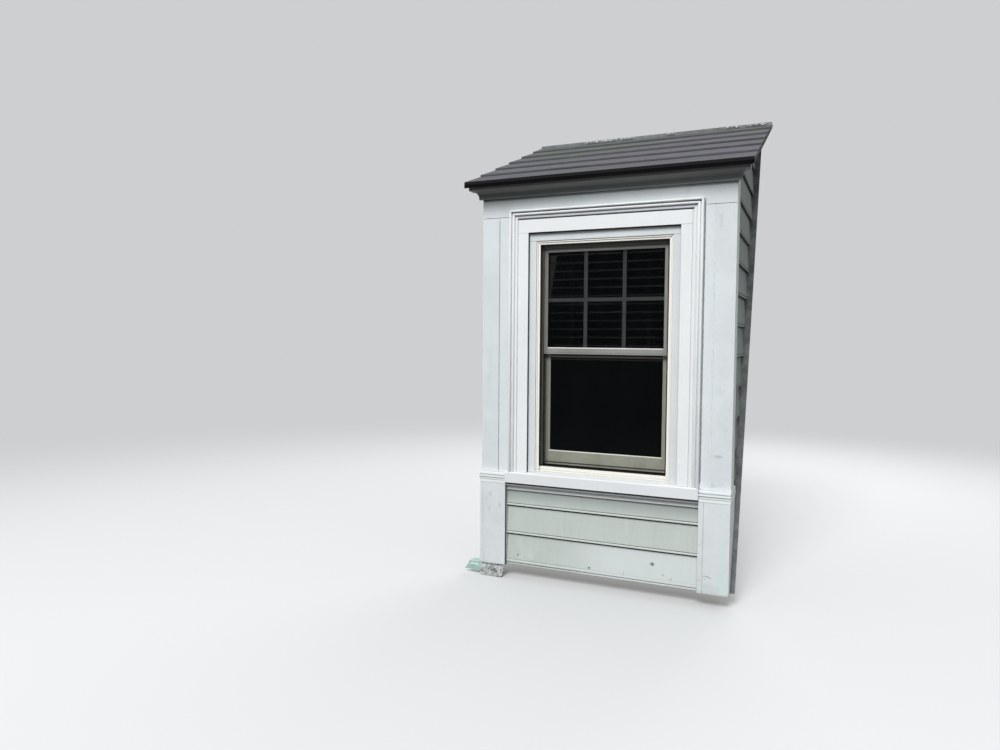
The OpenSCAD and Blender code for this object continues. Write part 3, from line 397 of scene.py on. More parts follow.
def siding_paint(name, paint, grain, first_z, age, marks=None):
    """Painted clapboards: each one a little different, with mottled rain marks, painted shade in
    the bead's groove and under each lap, a painted shadow line at each lap and a painted highlight
    on each bead.
    """
    f = Finish(name, specular=0.3)
    z = f.axis("Z")
    share = f.calc("FRACT", f.calc("DIVIDE", f.calc("SUBTRACT", z, first_z), CLAP_H))
    brush = f.noise(170, 3, 0.6, grain_place(f, grain))
    col = f.lay(paint, shade(paint, 0.86), f.per_board(), 0.35)
    col = f.lay(col, shade(paint, 0.84), f.patches(5.5, 5, 0.65, 0.36, 0.66), 0.5 * age)
    runs = f.patches(48, 4, 0.62, 0.45, 0.78, (1, 1, 0.12))
    col = f.lay(col, shade(paint, 0.66), runs, 0.34 * age)
    col = f.lay(col, shade(paint, 1.3), f.patches(11, 4, 0.6, 0.55, 0.75, (1, 1, 0.5)), 0.3)
    col = f.lay(col, shade(paint, 0.78), f.ramp(brush, 0.5, 0.8), 0.2)
    specks = f.times(f.patches(300, 2, 0.5, 0.65, 0.72), f.patches(10, 3, 0.55, 0.42, 0.6))
    col = f.lay(col, DIRT_AND_SHADE_GREY, specks, 0.6 * age)
    # Painted shade in the groove over each bead
    col = f.lay(col, GROOVE_SHADE, f.near(share, *BEAD_GROOVE), 0.6)
    # Painted shade on each board's top, under the butt of the board above
    col = f.lay(col, DIRT_AND_SHADE_GREY, f.ramp(share, *UNDER_BUTT_SHADE), 0.3 * age)
    if marks:
        col = marks(f, col)
    col = f.lay(col, LAP_SHADE, f.tucked_in(0.012), 0.8)
    # Painted highlight on each bead
    bead = f.times(f.ramp(share, *BEAD_LOW), f.ramp(share, *BEAD_HIGH))
    col = f.lay(col, shade(paint, 1.18), bead, 0.75)
    # Painted shadow: a near-black line under each butt and on the butts' undersides
    gap = f.calc("MAXIMUM", f.ramp(share, *LAP_GAP), f.ramp(share, *LAP_GAP_FOOT))
    over_lowest = f.ramp(z, first_z - CLAP_H + 0.004, first_z - CLAP_H + 0.01)
    f.colour(f.lay(col, srgb(14, 16, 15), gap, over_lowest, 0.96))
    f.rough(f.noise(14, 3), 0.5, 0.72)
    f.bump(brush, 0.0003, 0.55)
    f.bump(f.noise(600, 2, 0.5), 0.0001, 0.4)
    return f.mat


def roofing(name):
    """Smooth dark strips: purple-grey with a green cast near the head, fine dark lines across,
    painted shade in corners, and front faces laid black as shade under the metal edge.
    """
    f = Finish(name, specular=0.3)
    y = f.axis("Y")
    up = f.ramp(f.plus(y, f.axis("X"), -0.35), 0.1, 1.3)
    cast = f.ramp(f.plus(f.noise(2.2, 4, 0.6), up, 0.22), 0.48, 0.68)
    col = f.mix(cast, ROOF_PURPLE, ROOF_GREEN)
    col = f.lay(col, srgb(80, 80, 86), f.per_board(), 0.35)
    lines_across = f.patches(34, 4, 0.65, 0.5, 0.72, (0.035, 1, 1))
    col = f.lay(col, srgb(58, 59, 66), lines_across, 0.6)
    fine = f.patches(120, 4, 0.7, 0.5, 0.68, (0.02, 1, 1))
    col = f.lay(col, srgb(52, 53, 60), fine, 0.45)
    worn = f.patches(60, 5, 0.7, 0.55, 0.75, (0.12, 1, 1))
    col = f.lay(col, srgb(122, 123, 126), worn, 0.45)
    grit = f.noise(900, 2, 0.6)
    col = f.lay(col, srgb(52, 53, 56), f.ramp(grit, 0.5, 0.75), 0.4)
    dust = f.patches(6, 5, 0.65, 0.55, 0.75)
    col = f.lay(col, srgb(112, 115, 110), dust, 0.3)
    # Painted shade in corners
    col = f.lay(col, srgb(26, 26, 30), f.tucked_in(0.02), 0.85)
    # Painted shade: the front faces under the metal edge laid black
    front = f.ramp(y, EAVE_Y + 0.0035, EAVE_Y + 0.0015)
    f.colour(f.lay(col, EDGE_BLACK, front, 0.95))
    f.rough(f.noise(20, 3), 0.55, 0.8)
    f.bump(grit, 0.0006, 0.6)
    f.bump(f.noise(40, 4, 0.6, f.stretched(0.1, 1, 1)), 0.0015, 0.4)
    return f.mat


def dark_metal(name):
    """Painted metal edge, nearly black, with dull spots."""
    f = Finish(name, specular=0.08)
    dull = f.patches(40, 5, 0.65, 0.5, 0.75)
    col = f.lay(EDGE_BLACK, srgb(20, 20, 21), dull, 0.4)
    runs = f.patches(30, 4, 0.6, 0.55, 0.8, (1, 1, 0.1))
    f.colour(f.lay(col, srgb(34, 36, 36), runs, 0.2))
    f.rough(dull, 0.5, 0.7)
    f.bump(f.noise(60, 4), 0.0006, 0.4)
    return f.mat


def grey_metal(name):
    """Weathered flashing: dull grey sheet with pale oxide, dark stains and painted shade in its
    folds.
    """
    f = Finish(name, metal=0.65, specular=0.5)
    clouds = f.patches(14, 6, 0.68, 0.38, 0.7)
    stains = f.patches(34, 5, 0.7, 0.55, 0.75, warp=0.5)
    col = f.lay(f.mix(clouds, LEAD, LEAD_OXIDE), srgb(70, 72, 70), stains, 0.6)
    # Painted shade in corners and folds
    f.colour(f.lay(col, CORNER_SHADE, f.tucked_in(0.01), 0.7))
    f.rough(clouds, 0.38, 0.7)
    f.bump(f.noise(30, 4), 0.0012, 0.5)
    return f.mat


def bright_metal(name):
    """Clean crumpled sheet, painted nearly white in patches as highlights, where it would catch
    the light.
    """
    f = Finish(name, metal=0.25, specular=0.5)
    clouds = f.patches(90, 5, 0.7, 0.42, 0.6)
    f.colour(f.mix(clouds, srgb(232, 234, 234), srgb(120, 124, 124)))
    f.rough(clouds, 0.35, 0.6)
    f.bump(f.noise(80, 4, 0.6), 0.003, 0.8)
    return f.mat


def green_copper(name):
    """Verdigris over copper: chalky pale green, with painted shade where it is bent in and painted
    highlights along the rims.
    """
    f = Finish(name, rough=0.75, specular=0.25)
    clouds = f.patches(36, 6, 0.7, 0.36, 0.66, warp=0.6)
    col = f.mix(clouds, VERDIGRIS, VERDIGRIS_DULL)
    col = f.lay(col, VERDIGRIS_DARK, f.patches(70, 5, 0.7, 0.54, 0.72), 0.7)
    bare = f.patches(26, 4, 0.65, 0.68, 0.8, (1, 1, 0.6))
    col = f.lay(col, srgb(104, 92, 74), bare, 0.7)
    # Painted shade in creases and hollows
    col = f.lay(col, srgb(40, 56, 50), f.tucked_in(0.012), 0.8)
    # Painted highlights along the sharp edges
    f.colour(f.lay(col, srgb(232, 246, 241), f.edges(0.002), 0.8))
    f.bump(f.noise(120, 5, 0.65), 0.0009, 0.7)
    f.bump(f.noise(22, 3), 0.003, 0.5)
    return f.mat


def pitted_metal(name):
    """Silvery solder and sheet with dark pits at the right, ridges, painted shade in its hollows
    and painted highlights along its edges.
    """
    f = Finish(name, metal=0.45, specular=0.5)
    clouds = f.patches(30, 5, 0.65, 0.35, 0.7)
    col = f.mix(clouds, BARE_METAL, srgb(150, 152, 148))
    cells = f.cells(f.place, 95.0, "SMOOTH_F1")
    pits = f.ramp(f.plus(cells, f.noise(55, 4), 0.5), 0.62, 0.42)
    on_right = f.ramp(f.axis("X"), -0.67, -0.63)
    col = f.lay(col, srgb(34, 34, 32), pits, on_right, 0.95)
    grime_and_shade = f.patches(18, 5, 0.7, 0.5, 0.68, warp=0.8)
    col = f.lay(col, srgb(58, 58, 54), grime_and_shade, 0.6)
    # Painted shade in hollows and under the plinth's foot
    col = f.lay(col, srgb(22, 22, 20), f.tucked_in(0.02, 0.35, 0.8), 0.7)
    # Painted highlights along the sharp edges
    f.colour(f.lay(col, srgb(246, 247, 245), f.edges(0.002), 0.85))
    f.rough(clouds, 0.35, 0.65)
    f.bump(f.calc("MULTIPLY", pits, -1.0), 0.003, 0.9)
    f.bump(f.noise(60, 5, 0.65), 0.002, 0.8)
    return f.mat


def window_vinyl(name, base, dull, marks, age=1.0):
    """Extruded vinyl: even colour, faint dust and runs, painted shade in its steps."""
    f = Finish(name, specular=0.3)
    col = f.lay(base, dull, f.patches(6, 4, 0.6, 0.35, 0.7), 0.7)
    dust = f.patches(44, 5, 0.68, 0.54, 0.74)
    col = f.lay(col, srgb(176, 174, 158), dust, 0.28 * age)
    runs = f.patches(60, 4, 0.6, 0.55, 0.8, (1, 1, 0.08))
    col = f.lay(col, shade(base, 0.6), runs, 0.3 * age)
    # Painted shade in steps and corners
    col = f.lay(col, TRACK_BLACK, f.tucked_in(0.006, 0.4, 0.9), 0.85)
    f.colour(marks(f, col))
    f.rough(f.noise(12, 3), 0.4, 0.56)
    f.bump(f.noise(500, 2), 0.00006, 0.5)
    return f.mat


def glass(name, clear, marks=None):
    """Nearly black glass, laid dark as painted shade for the dark room behind it: what lies behind
    shows faintly.
    """
    f = Finish(name, rough=0.04, specular=0.05)
    smears = f.patches(5, 5, 0.65, 0.4, 0.8, (1, 1, 0.4))
    # Painted shade: near-black tones for the dark room behind the panes
    col = f.mix(smears, srgb(3, 6, 6), srgb(8, 12, 12))
    f.colour(marks(f, col) if marks else col)
    f.bsdf.inputs["Alpha"].default_value = 1 - clear
    f.bump(f.noise(2.5, 1), 0.0006, 0.15)
    return f.mat


def plain_metal_bar(name):
    """The flat bars between the panes."""
    f = Finish(name, metal=0.1)
    clouds = f.patches(20, 4, 0.55, 0.35, 0.7)
    f.colour(f.mix(clouds, GRILLE_GREY, shade(GRILLE_GREY, 0.86)))
    f.bump(f.noise(300, 2), 0.0001, 0.4)
    return f.mat


def blind_vinyl(name):
    """Dusty off-white slats."""
    f = Finish(name)
    dust = f.patches(30, 5, 0.65, 0.4, 0.7, (0.3, 1, 1))
    col = f.lay(BLIND_WHITE, srgb(190, 189, 180), dust, 0.25)
    f.colour(f.lay(col, srgb(204, 204, 198), f.per_board(), 0.25))
    f.bump(f.noise(220, 3, 0.5, f.stretched(0.05, 1, 1)), 0.0002, 0.4)
    return f.mat


def lumber(name, grain):
    """Pine framing: growth rings along the board, knots, a tone of its own for each piece and
    painted shade in corners.
    """
    f = Finish(name, specular=0.25)
    along = grain_place(f, grain)
    rings = f.noise(95, 2, 0.5, along, warp=0.6)
    fibre = f.noise(600, 3, 0.6, along)
    col = f.mix(f.ramp(rings, 0.42, 0.66), PINE, PINE_DARK)
    col = f.lay(col, srgb(186, 148, 100), f.per_board(), 0.45)
    col = f.lay(col, srgb(140, 104, 66), f.ramp(fibre, 0.5, 0.8), 0.3)
    knots = f.ramp(f.plus(f.cells(along, 5.5, "F1"), f.noise(40, 2), 0.05), 0.1, 0.06)
    col = f.lay(col, srgb(98, 62, 36), knots, 0.85)
    col = f.lay(col, srgb(150, 132, 106), f.patches(4, 4, 0.6, 0.45, 0.75), 0.3)
    # Painted shade in corners
    f.colour(f.lay(col, srgb(80, 56, 36), f.tucked_in(0.02), 0.5))
    f.rough(fibre, 0.62, 0.82)
    f.bump(fibre, 0.0004, 0.6)
    f.bump(rings, 0.0006, 0.3)
    return f.mat


def plywood(name, grain, marks=None):
    """Sheathing panel: broad rotary-cut figure, fibres, scattered stains and painted shade in
    corners.
    """
    f = Finish(name, specular=0.2)
    along = grain_place(f, grain)
    figure = f.noise(16, 3, 0.55, along, warp=1.4)
    bands = f.calc("SINE", f.calc("MULTIPLY", figure, 34.0))
    fibre = f.noise(420, 3, 0.6, along)
    col = f.mix(f.ramp(bands, -0.7, 0.9), PLY, PLY_DARK)
    col = f.lay(col, srgb(132, 98, 62), f.ramp(fibre, 0.5, 0.8), 0.35)
    col = f.lay(col, srgb(126, 106, 80), f.patches(5, 5, 0.65, 0.56, 0.74), 0.35)
    # Painted shade in corners
    col = f.lay(col, srgb(70, 50, 34), f.tucked_in(0.02), 0.5)
    f.colour(marks(f, col) if marks else col)
    f.rough(fibre, 0.68, 0.86)
    f.bump(fibre, 0.0004, 0.6)
    return f.mat


def plaster(name):
    """Painted board lining with a faint roller texture, handling marks and painted shade in
    corners.
    """
    f = Finish(name, specular=0.2)
    clouds = f.patches(3.5, 4, 0.6, 0.4, 0.7)
    col = f.lay(PLASTER, srgb(208, 203, 190), clouds, 0.5)
    scuffs = f.patches(24, 5, 0.7, 0.62, 0.78, (1, 1, 0.4))
    col = f.lay(col, srgb(176, 170, 156), scuffs, 0.35)
    # Painted shade in corners
    f.colour(f.lay(col, srgb(120, 112, 98), f.tucked_in(0.02), 0.35))
    f.rough(clouds, 0.68, 0.84)
    f.bump(f.noise(260, 3, 0.6), 0.0005, 0.5)
    return f.mat


def plain_mark(name, tone, rough=0.75):
    """Caulk, grime and scuffs laid on the paint."""
    f = Finish(name, rough=rough, specular=0.2)
    f.colour(f.lay(tone, shade(tone, 0.7), f.patches(70, 5, 0.65, 0.35, 0.7), 0.6))
    f.bump(f.noise(400, 3), 0.0002, 0.5)
    return f.mat


# Spots on the front: the middle's X and Z, the half width and height, and the strength
GREEN_STAINS = ((0.678, 0.04, 0.028, 0.05, 0.25), (0.662, 0.14, 0.024, 0.2, 0.35))
PLINTH_WEAR = ((0.61, 0.03, 0.05, 0.03, 0.15),)
PLINTH_DENTS = (
    (-0.632, 0.41, 0.012, 0.02, 0.3),
    (-0.572, 0.35, 0.012, 0.02, 0.3),
    (-0.64, 0.32, 0.012, 0.02, 0.3),
)
BOARD_SCUFFS = (
    (0.629, 0.713, 0.03, 0.012, 0.35),
    (0.577, 0.665, 0.007, 0.034, 0.55),
    (0.58, 0.6, 0.009, 0.034, 0.5),
    (0.6, 0.56, 0.03, 0.014, 0.2),
    (0.62, 1.9, 0.012, 0.05, 0.12),
)
PANEL_STAINS = ((0.302, 0.113, 0.016, 0.012, 0.6), (-0.044, 0.045, 0.008, 0.008, 0.6))
PANEL_SCUFFS = (
    (0.36, 0.062, 0.009, 0.008, 0.35),
    (0.4, 0.045, 0.012, 0.008, 0.35),
    (0.15, 0.04, 0.005, 0.014, 0.35),
)

# Soft lines: the middle, the half width and the strength
BAND_SHADE_LINES = ((0.0145, 0.0042, 0.85), (0.033, 0.004, 0.6), (0.0515, 0.0075, 1.0))
CAP_SHADE_LINES = (
    (PLINTH_TOP_Z + CAP_STEP, 0.0034, 0.6),
    (PLINTH_TOP_Z, 0.004, 0.65),
    (PLINTH_TOP_Z - 0.012, 0.0028, 0.3),
    (PLINTH_TOP_Z - 0.03, 0.0024, 0.12),
)
SASH_HIGHLIGHTS = ((SASH_LOW.z + RAIL_H - 0.002, 0.0042, 0.85), (SASH_HIGH.z - 0.003, 0.006, 0.7))
SASH_FOOT_SHADOW = ((SASH_LOW.z + 0.0125, 0.0065, 0.95),)
UNDER_RAIL = ((0.012, 0.008, 0.9),)


def spot_mask(f, x, z, rx, rz, ragged):
    """1 inside a ragged spot on the front, 0 outside."""

    def squared(letter, middle, reach):
        return f.calc("POWER", f.calc("DIVIDE", f.gap(f.axis(letter), middle), reach), 2.0)

    away = f.calc("SQRT", f.calc("ADD", squared("X", x, rx), squared("Z", z, rz)))
    torn = f.calc("SUBTRACT", f.noise(60, 5, 0.7), 0.5)
    return f.ramp(f.plus(away, torn, ragged * 4), 1.0, 0.45)


def spots(f, col, tone, places, ragged=0.35):
    for x, z, rx, rz, share in places:
        col = f.lay(col, tone, spot_mask(f, x, z, rx, rz, ragged), share)
    return col


def soft_lines(f, col, tone, value, rows, *masks):
    for middle, width, share in rows:
        col = f.lay(col, tone, f.near(value, middle, width), *masks, share)
    return col


def worn_foot(f, col, tone, height, share):
    """Paint worn thin along the foot of a plinth, up to about a height."""
    ragged_z = f.plus(f.axis("Z"), f.noise(40, 4), 0.03)
    return f.lay(col, tone, f.ramp(ragged_z, height, 0.012), share)


def right_plinth_marks(f, col):
    """Greenish stain at the foot's outer corner, and worn paint along the foot."""
    col = spots(f, col, srgb(196, 228, 216), GREEN_STAINS)
    col = spots(f, col, srgb(150, 156, 152), PLINTH_WEAR)
    return worn_foot(f, col, srgb(146, 152, 142), 0.04, 0.45)


def left_plinth_marks(f, col):
    """Dull dents, worn paint along the foot, and painted shade on the inner edge."""
    # Painted shade on the front part of the inner side face
    inner = f.ramp(f.axis("X"), PLINTH_IN_X - 0.0016, PLINTH_IN_X - 0.0008)
    front = f.ramp(f.axis("Y"), PLINTH_Y + 0.02, PLINTH_Y + 0.016)
    col = f.lay(col, srgb(32, 35, 34), inner, front, 0.9)
    col = spots(f, col, srgb(164, 170, 168), PLINTH_DENTS)
    return worn_foot(f, col, srgb(150, 154, 146), 0.035, 0.4)


def right_board_marks(f, col):
    """Grey scuffs above the cap and under the frieze."""
    return spots(f, col, srgb(132, 140, 140), BOARD_SCUFFS)


def panel_marks(f, col):
    """A paler foot at the right, scuffs on the lowest board, and painted shade with a painted
    shadow line under the moulding.
    """
    z = f.axis("Z")
    at_right = f.ramp(f.axis("X"), -0.25, 0.1)
    col = f.lay(col, srgb(220, 226, 228), f.ramp(z, 0.2, 0.16), at_right, 0.6)
    col = spots(f, col, DIRT_AND_SHADE_GREY, PANEL_STAINS, 0.25)
    col = spots(f, col, srgb(130, 138, 134), PANEL_SCUFFS, 0.3)
    # Painted shadow: a dark line under the moulding's foot
    shadow_line = f.ramp(z, UNDER_LOW.z - 0.0045, UNDER_LOW.z - 0.003)
    col = f.lay(col, srgb(26, 30, 29), shadow_line, 0.9)
    # Painted shade, strongest under the moulding
    return f.lay(col, srgb(132, 140, 138), f.ramp(z, UNDER_LOW.z - 0.1, UNDER_LOW.z), 0.62)


def band_marks(f, col):
    """Painted shade in the grooves and the hollow of the head, where the light from above falls
    less.
    """
    find, half, height = BAND_HEAD
    in_head = find(f, half, height)
    down = f.calc("SUBTRACT", BAND_HIGH.z, f.axis("Z"))
    hollow = f.times(f.ramp(down, 0.03, 0.033), f.ramp(down, 0.049, 0.046), in_head)
    # Painted shade in the head's hollow
    col = f.lay(col, srgb(160, 162, 170), hollow, 0.55)
    # Painted shade lines in the head's grooves
    return soft_lines(f, col, srgb(24, 26, 27), down, BAND_SHADE_LINES, in_head)


def casing_marks(f, col):
    """Painted shade on the underside of the head casing."""
    inside = f.ramp(off_middle(f), CASING_IN + 0.001, CASING_IN)
    under = f.ramp(f.axis("Z"), CASING_HEAD_Z + 0.0018, CASING_HEAD_Z + 0.001)
    # Painted shade: the head casing's underside laid nearly black
    return f.lay(col, UNDER_HEAD_BLACK, under, inside, 0.97)


def under_casing_marks(f, col):
    """A black line on the backing boards under the head casing, and faint grey lines beside the
    side casings.
    """
    z = f.axis("Z")
    off = off_middle(f)
    under = f.ramp(z, CASING_HEAD_Z - 0.0055, CASING_HEAD_Z - 0.0035)
    col = f.lay(col, UNDER_HEAD_BLACK, under, f.ramp(off, CASING_IN + 0.002, CASING_IN), 0.96)
    below = f.ramp(z, CASING_HEAD_Z + 0.002, CASING_HEAD_Z)
    return f.lay(col, srgb(90, 94, 92), f.near(off, CASING_IN, 0.0045), below, 0.5)


def eave_marks(f, col):
    """Painted shade under the eave: dark on the crown moulding, fading down the frieze and weaker
    at the right, with a lighter band near the crown's top.
    """
    # Painted shade under the eave, its edge made ragged by noise
    z = f.plus(f.axis("Z"), f.noise(7, 4, 0.6, f.stretched(0.3, 1, 1)), 0.012)
    less_at_right = f.calc("MULTIPLY", f.ramp(f.axis("X"), -OUTER_X, OUTER_X), 0.34)
    eave_shade = f.ramp(z, BAND_HIGH.z - 0.05, CROWN_LOW.z + 0.006)
    col = f.lay(col, srgb(92, 99, 98), eave_shade, f.calc("SUBTRACT", 0.72, less_at_right))
    crown = f.ramp(z, CROWN_LOW.z - 0.006, CROWN_LOW.z + 0.014)
    col = f.lay(col, srgb(30, 34, 33), crown, 0.8)
    lip = f.ramp(z, CROWN_HIGH.z - 0.04, CROWN_HIGH.z - 0.022)
    return f.lay(col, srgb(136, 138, 134), lip, 0.75)


def stop_marks(f, col):
    """Black paint on the stops' inner faces, painted shade on the low stop, and worn lines in the
    cream paint.
    """
    z = f.axis("Z")
    off = off_middle(f)
    low = f.calc("LESS_THAN", z, SILL_TOP_Z + 0.03)
    sides = f.calc("SUBTRACT", 1.0, low)
    inner = f.ramp(off, STOP_IN + 0.0014, STOP_IN + 0.0008)
    below_head = f.ramp(z, STOP_HEAD_Z + 0.0014, STOP_HEAD_Z + 0.0008)
    col = f.lay(col, OPENING_BLACK, inner, sides, below_head, 0.95)
    # The low stop laid darker, to offset the light on it from above
    col = f.lay(col, srgb(214, 212, 204), low, 0.35)
    worn_low = f.times(f.near(z, SILL_TOP_Z + 0.009, 0.005), low)
    worn_side = f.times(f.near(off, STOP_IN + 0.0135, 0.0022), sides)
    return f.lay(col, srgb(140, 130, 110), f.calc("MAXIMUM", worn_low, worn_side), 0.35)


def deck_marks(f, col):
    """Painted shade where the roof boards overhang the walls, greyer over the crown moulding."""
    y = f.axis("Y")
    off = f.calc("ABSOLUTE", f.axis("X"))
    overhang = f.calc("GREATER_THAN", off, OUTER_X + 0.001)
    below_head = f.calc("LESS_THAN", y, HEAD_HIGH.y - 0.012)
    # Painted shade on the overhangs' undersides
    col = f.lay(col, srgb(22, 22, 23), overhang, below_head)
    return f.lay(col, srgb(92, 94, 92), f.calc("LESS_THAN", y, BOARD_Y - 0.03))


def jamb_marks(f, col):
    """Black paint on the jambs in front of the window's frame, and painted shade on them behind
    it, for the dark room.
    """
    y = f.axis("Y")
    outside = f.ramp(y, FRAME_LOW.y + 0.001, FRAME_LOW.y - 0.001)
    behind = f.ramp(y, FRAME_HIGH.y - 0.03, FRAME_HIGH.y - 0.02)
    behind = f.times(behind, f.ramp(y, 0.05, 0.045))
    # Black paint in front of the frame; painted shade behind it
    return f.lay(col, OPENING_BLACK, f.calc("MAXIMUM", outside, behind), 0.95)


def track_marks(f, col):
    """Shade under the frame's head, beside the stops and in the tracks behind the upper sash."""
    z = f.axis("Z")
    head = f.ramp(z, STOP_HIGH.z - 0.062, STOP_HIGH.z - 0.046)
    col = f.lay(col, srgb(40, 39, 36), head, 0.45)
    beside = f.ramp(off_middle(f), STOP_IN - 0.016, STOP_IN - 0.002)
    col = f.lay(col, srgb(34, 33, 30), beside, 0.8)
    right_x = WINDOW_X + STOP_IN
    right = f.ramp(f.axis("X"), right_x - 0.0125, right_x - 0.0105)
    foot = f.ramp(z, SASH_LOW.z + 0.002, SASH_LOW.z)
    col = f.lay(col, srgb(8, 8, 7), f.calc("MAXIMUM", right, foot), 0.95)
    above = f.calc("GREATER_THAN", z, SASH_HIGH.z)
    behind = f.calc("GREATER_THAN", f.axis("Y"), SASH_LOW.y - 0.002)
    return f.lay(col, TRACK_BLACK, behind, above, 0.85)


def under_rail_marks(f, col):
    """The lower sash's top rail and its shadow, seen just under the meeting rail."""
    down = f.calc("SUBTRACT", SASH_HIGH.z - MEETING_H, f.axis("Z"))
    col = f.lay(col, srgb(72, 70, 66), f.ramp(down, 0.032, 0.026), 0.9)
    col = soft_lines(f, col, srgb(168, 166, 160), down, UNDER_RAIL)
    rims = f.calc("MAXIMUM", f.near(down, 0.002, 0.005), f.near(down, 0.022, 0.005))
    return f.lay(col, srgb(6, 7, 7), rims, 0.95)


def left_stile_shade(f, col):
    """Shade on the left stile, which the stops stand in front of."""
    left = f.ramp(f.axis("X"), WINDOW_X - 0.315, WINDOW_X - 0.335)
    return f.lay(col, srgb(78, 78, 72), left, 0.5)


def upper_sash_marks(f, col):
    """A painted highlight on the upper sash's meeting rail, and painted shade on its left stile.
    """
    col = left_stile_shade(f, col)
    rim = f.near(f.axis("Z"), UPPER_SASH_Z + MEETING_H - 0.002, 0.0045)
    # Painted highlight on the rail's top edge
    return f.lay(col, srgb(232, 232, 228), rim, f.ramp(off_middle(f), 0.322, 0.318), 0.85)


def sash_marks(f, col):
    """Painted highlights on the lower sash's rails, and a painted shadow line above its foot."""
    col = left_stile_shade(f, col)
    z = f.axis("Z")
    half = SASH_HIGH.x - WINDOW_X
    inside = f.ramp(off_middle(f), half - 0.024, half - 0.028)
    # Painted highlights along the rails' edges
    col = soft_lines(f, col, srgb(226, 226, 218), z, SASH_HIGHLIGHTS, inside)
    # Painted shadow line above the foot
    return soft_lines(f, col, srgb(12, 12, 10), z, SASH_FOOT_SHADOW)


def sill_marks(f, col):
    """Painted shade on the moulding under the sill, with a painted shadow line near its top, and
    the upper part of the sill's top laid a little darker against the light from above.
    """
    z = f.axis("Z")
    # The sill's top laid darker, to offset the light on it from above
    top = f.ramp(z, SILL_TOP_Z - 0.0135, SILL_TOP_Z - 0.0115)
    col = f.lay(col, srgb(204, 206, 203), top, 0.5)
    # Painted shade under the nose
    under = f.ramp(z, SILL_NOSE_Z - 0.0002, SILL_NOSE_Z - 0.0008)
    col = f.lay(col, srgb(128, 136, 134), under, 0.3)
    shaded = f.ramp(z, UNDER_LOW.z + 0.02, UNDER_HIGH.z - 0.012)
    col = f.lay(col, srgb(104, 110, 114), shaded, under, 0.55)
    # Painted shadow line under the nose
    line = f.ramp(z, UNDER_HIGH.z - 0.0125, UNDER_HIGH.z - 0.0095)
    return f.lay(col, srgb(14, 15, 16), line, under, 0.94)


def cap_marks(f, col):
    """Thin dark lines in the steps of the plinth caps: painted shade."""
    return soft_lines(f, col, srgb(72, 76, 74), f.axis("Z"), CAP_SHADE_LINES)


# Every finish, with the nodes that wear it
FINISHES = {
    ("frieze_board", "crown_moulding"): painted_wood(
        "trim_across", TRIM_WHITE, "x", age=0.6, marks=eave_marks
    ),
    ("plinth_caps",): painted_wood("cap_paint", CAP_WHITE, "x", age=0.2, marks=cap_marks),
    ("left_corner_board",): painted_wood("left_board_paint", TRIM_WHITE, "z"),
    ("right_corner_board",): painted_wood(
        "right_board_paint", TRIM_WHITE, "z", marks=right_board_marks
    ),
    ("left_plinth_board",): painted_wood(
        "left_plinth_paint", TRIM_WHITE, "z", marks=left_plinth_marks
    ),
    ("right_plinth_board",): painted_wood(
        "right_plinth_paint", TRIM_WHITE, "z", marks=right_plinth_marks
    ),
    ("backing_boards",): painted_wood(
        "backing_paint", TRIM_WHITE, "z", 0.7, BACKING_HEAD, marks=under_casing_marks, grime_and_shade=0.25
    ),
    ("flat_casing",): painted_wood(
        "casing_paint", CASING_WHITE, "z", 0.4, CASING_HEAD, rough=0.42, marks=casing_marks
    ),
    ("band_moulding",): painted_wood(
        "band_paint", CASING_WHITE, "z", 0.4, BAND_HEAD, rough=0.42, marks=band_marks, grime_and_shade=0.12
    ),
    ("window_stops",): painted_wood(
        "stop_paint", STOP_CREAM, "z", 0.2, STOP_HEAD, rough=0.42, marks=stop_marks, grime_and_shade=0.2
    ),
    ("window_jambs",): painted_wood("jamb_paint", CASING_WHITE, "z", age=0.4, marks=jamb_marks),
    ("window_sill", "under_sill_moulding"): painted_wood(
        "sill_paint", SILL_WHITE, "x", age=0.4, rough=0.42, marks=sill_marks
    ),
    ("inside_casing",): painted_wood("inside_paint", CASING_WHITE, "z", age=0.3, rough=0.4),
    ("panel_siding",): siding_paint(
        "panel_paint", PANEL_GREEN_WHITE, "x", PANEL_FIRST_Z, 0.55, panel_marks
    ),
    ("left_cheek_siding", "right_cheek_siding"): siding_paint(
        "cheek_paint", CHEEK_SHADED_GREY, "y", CHEEK_FIRST_Z, 1.2
    ),
    ("roof_courses",): roofing("roof_strips"),
    ("roof_edge",): dark_metal("edge_metal_finish"),
    ("step_flashing", "head_flashing"): grey_metal("flashing_finish"),
    ("copper_apron",): green_copper("verdigris_finish"),
    ("apron_patch",): pitted_metal("pitted_finish"),
    ("window_frame",): window_vinyl("frame_vinyl", TAUPE_FRAME, TAUPE_FRAME_DULL, track_marks),
    ("upper_sash",): window_vinyl("upper_vinyl", TAUPE_SASH, TAUPE_SASH_DULL, upper_sash_marks),
    ("lower_sash", "sash_lock"): window_vinyl(
        "lower_vinyl", TAUPE_LOWER, TAUPE_LOWER_DULL, sash_marks, 1.4
    ),
    ("upper_panes",): glass("upper_glass", 0.5),
    ("lower_panes",): glass("lower_glass", 0.12, under_rail_marks),
    ("grille_bars",): plain_metal_bar("grille_finish"),
    ("blind_headrail", "blind_slats"): blind_vinyl("blind_finish"),
    ("sole_plate", "top_plates", "window_header", "roof_ledger"): lumber("lumber_across", "x"),
    ("front_studs", "cheek_studs"): lumber("lumber_upright", "z"),
    ("left_sloping_plate", "right_sloping_plate"): lumber("lumber_leaning", "lean"),
    ("rafters",): lumber("lumber_rafters", "roof"),
    ("front_sheathing",): plywood("panel_across", "x"),
    ("roof_deck",): plywood("panel_roof", "x", deck_marks),
    ("cheek_sheathing",): plywood("panel_cheeks", "z"),
    ("cheek_linings", "ceiling_lining", "front_lining"): plaster("lining_finish"),
}

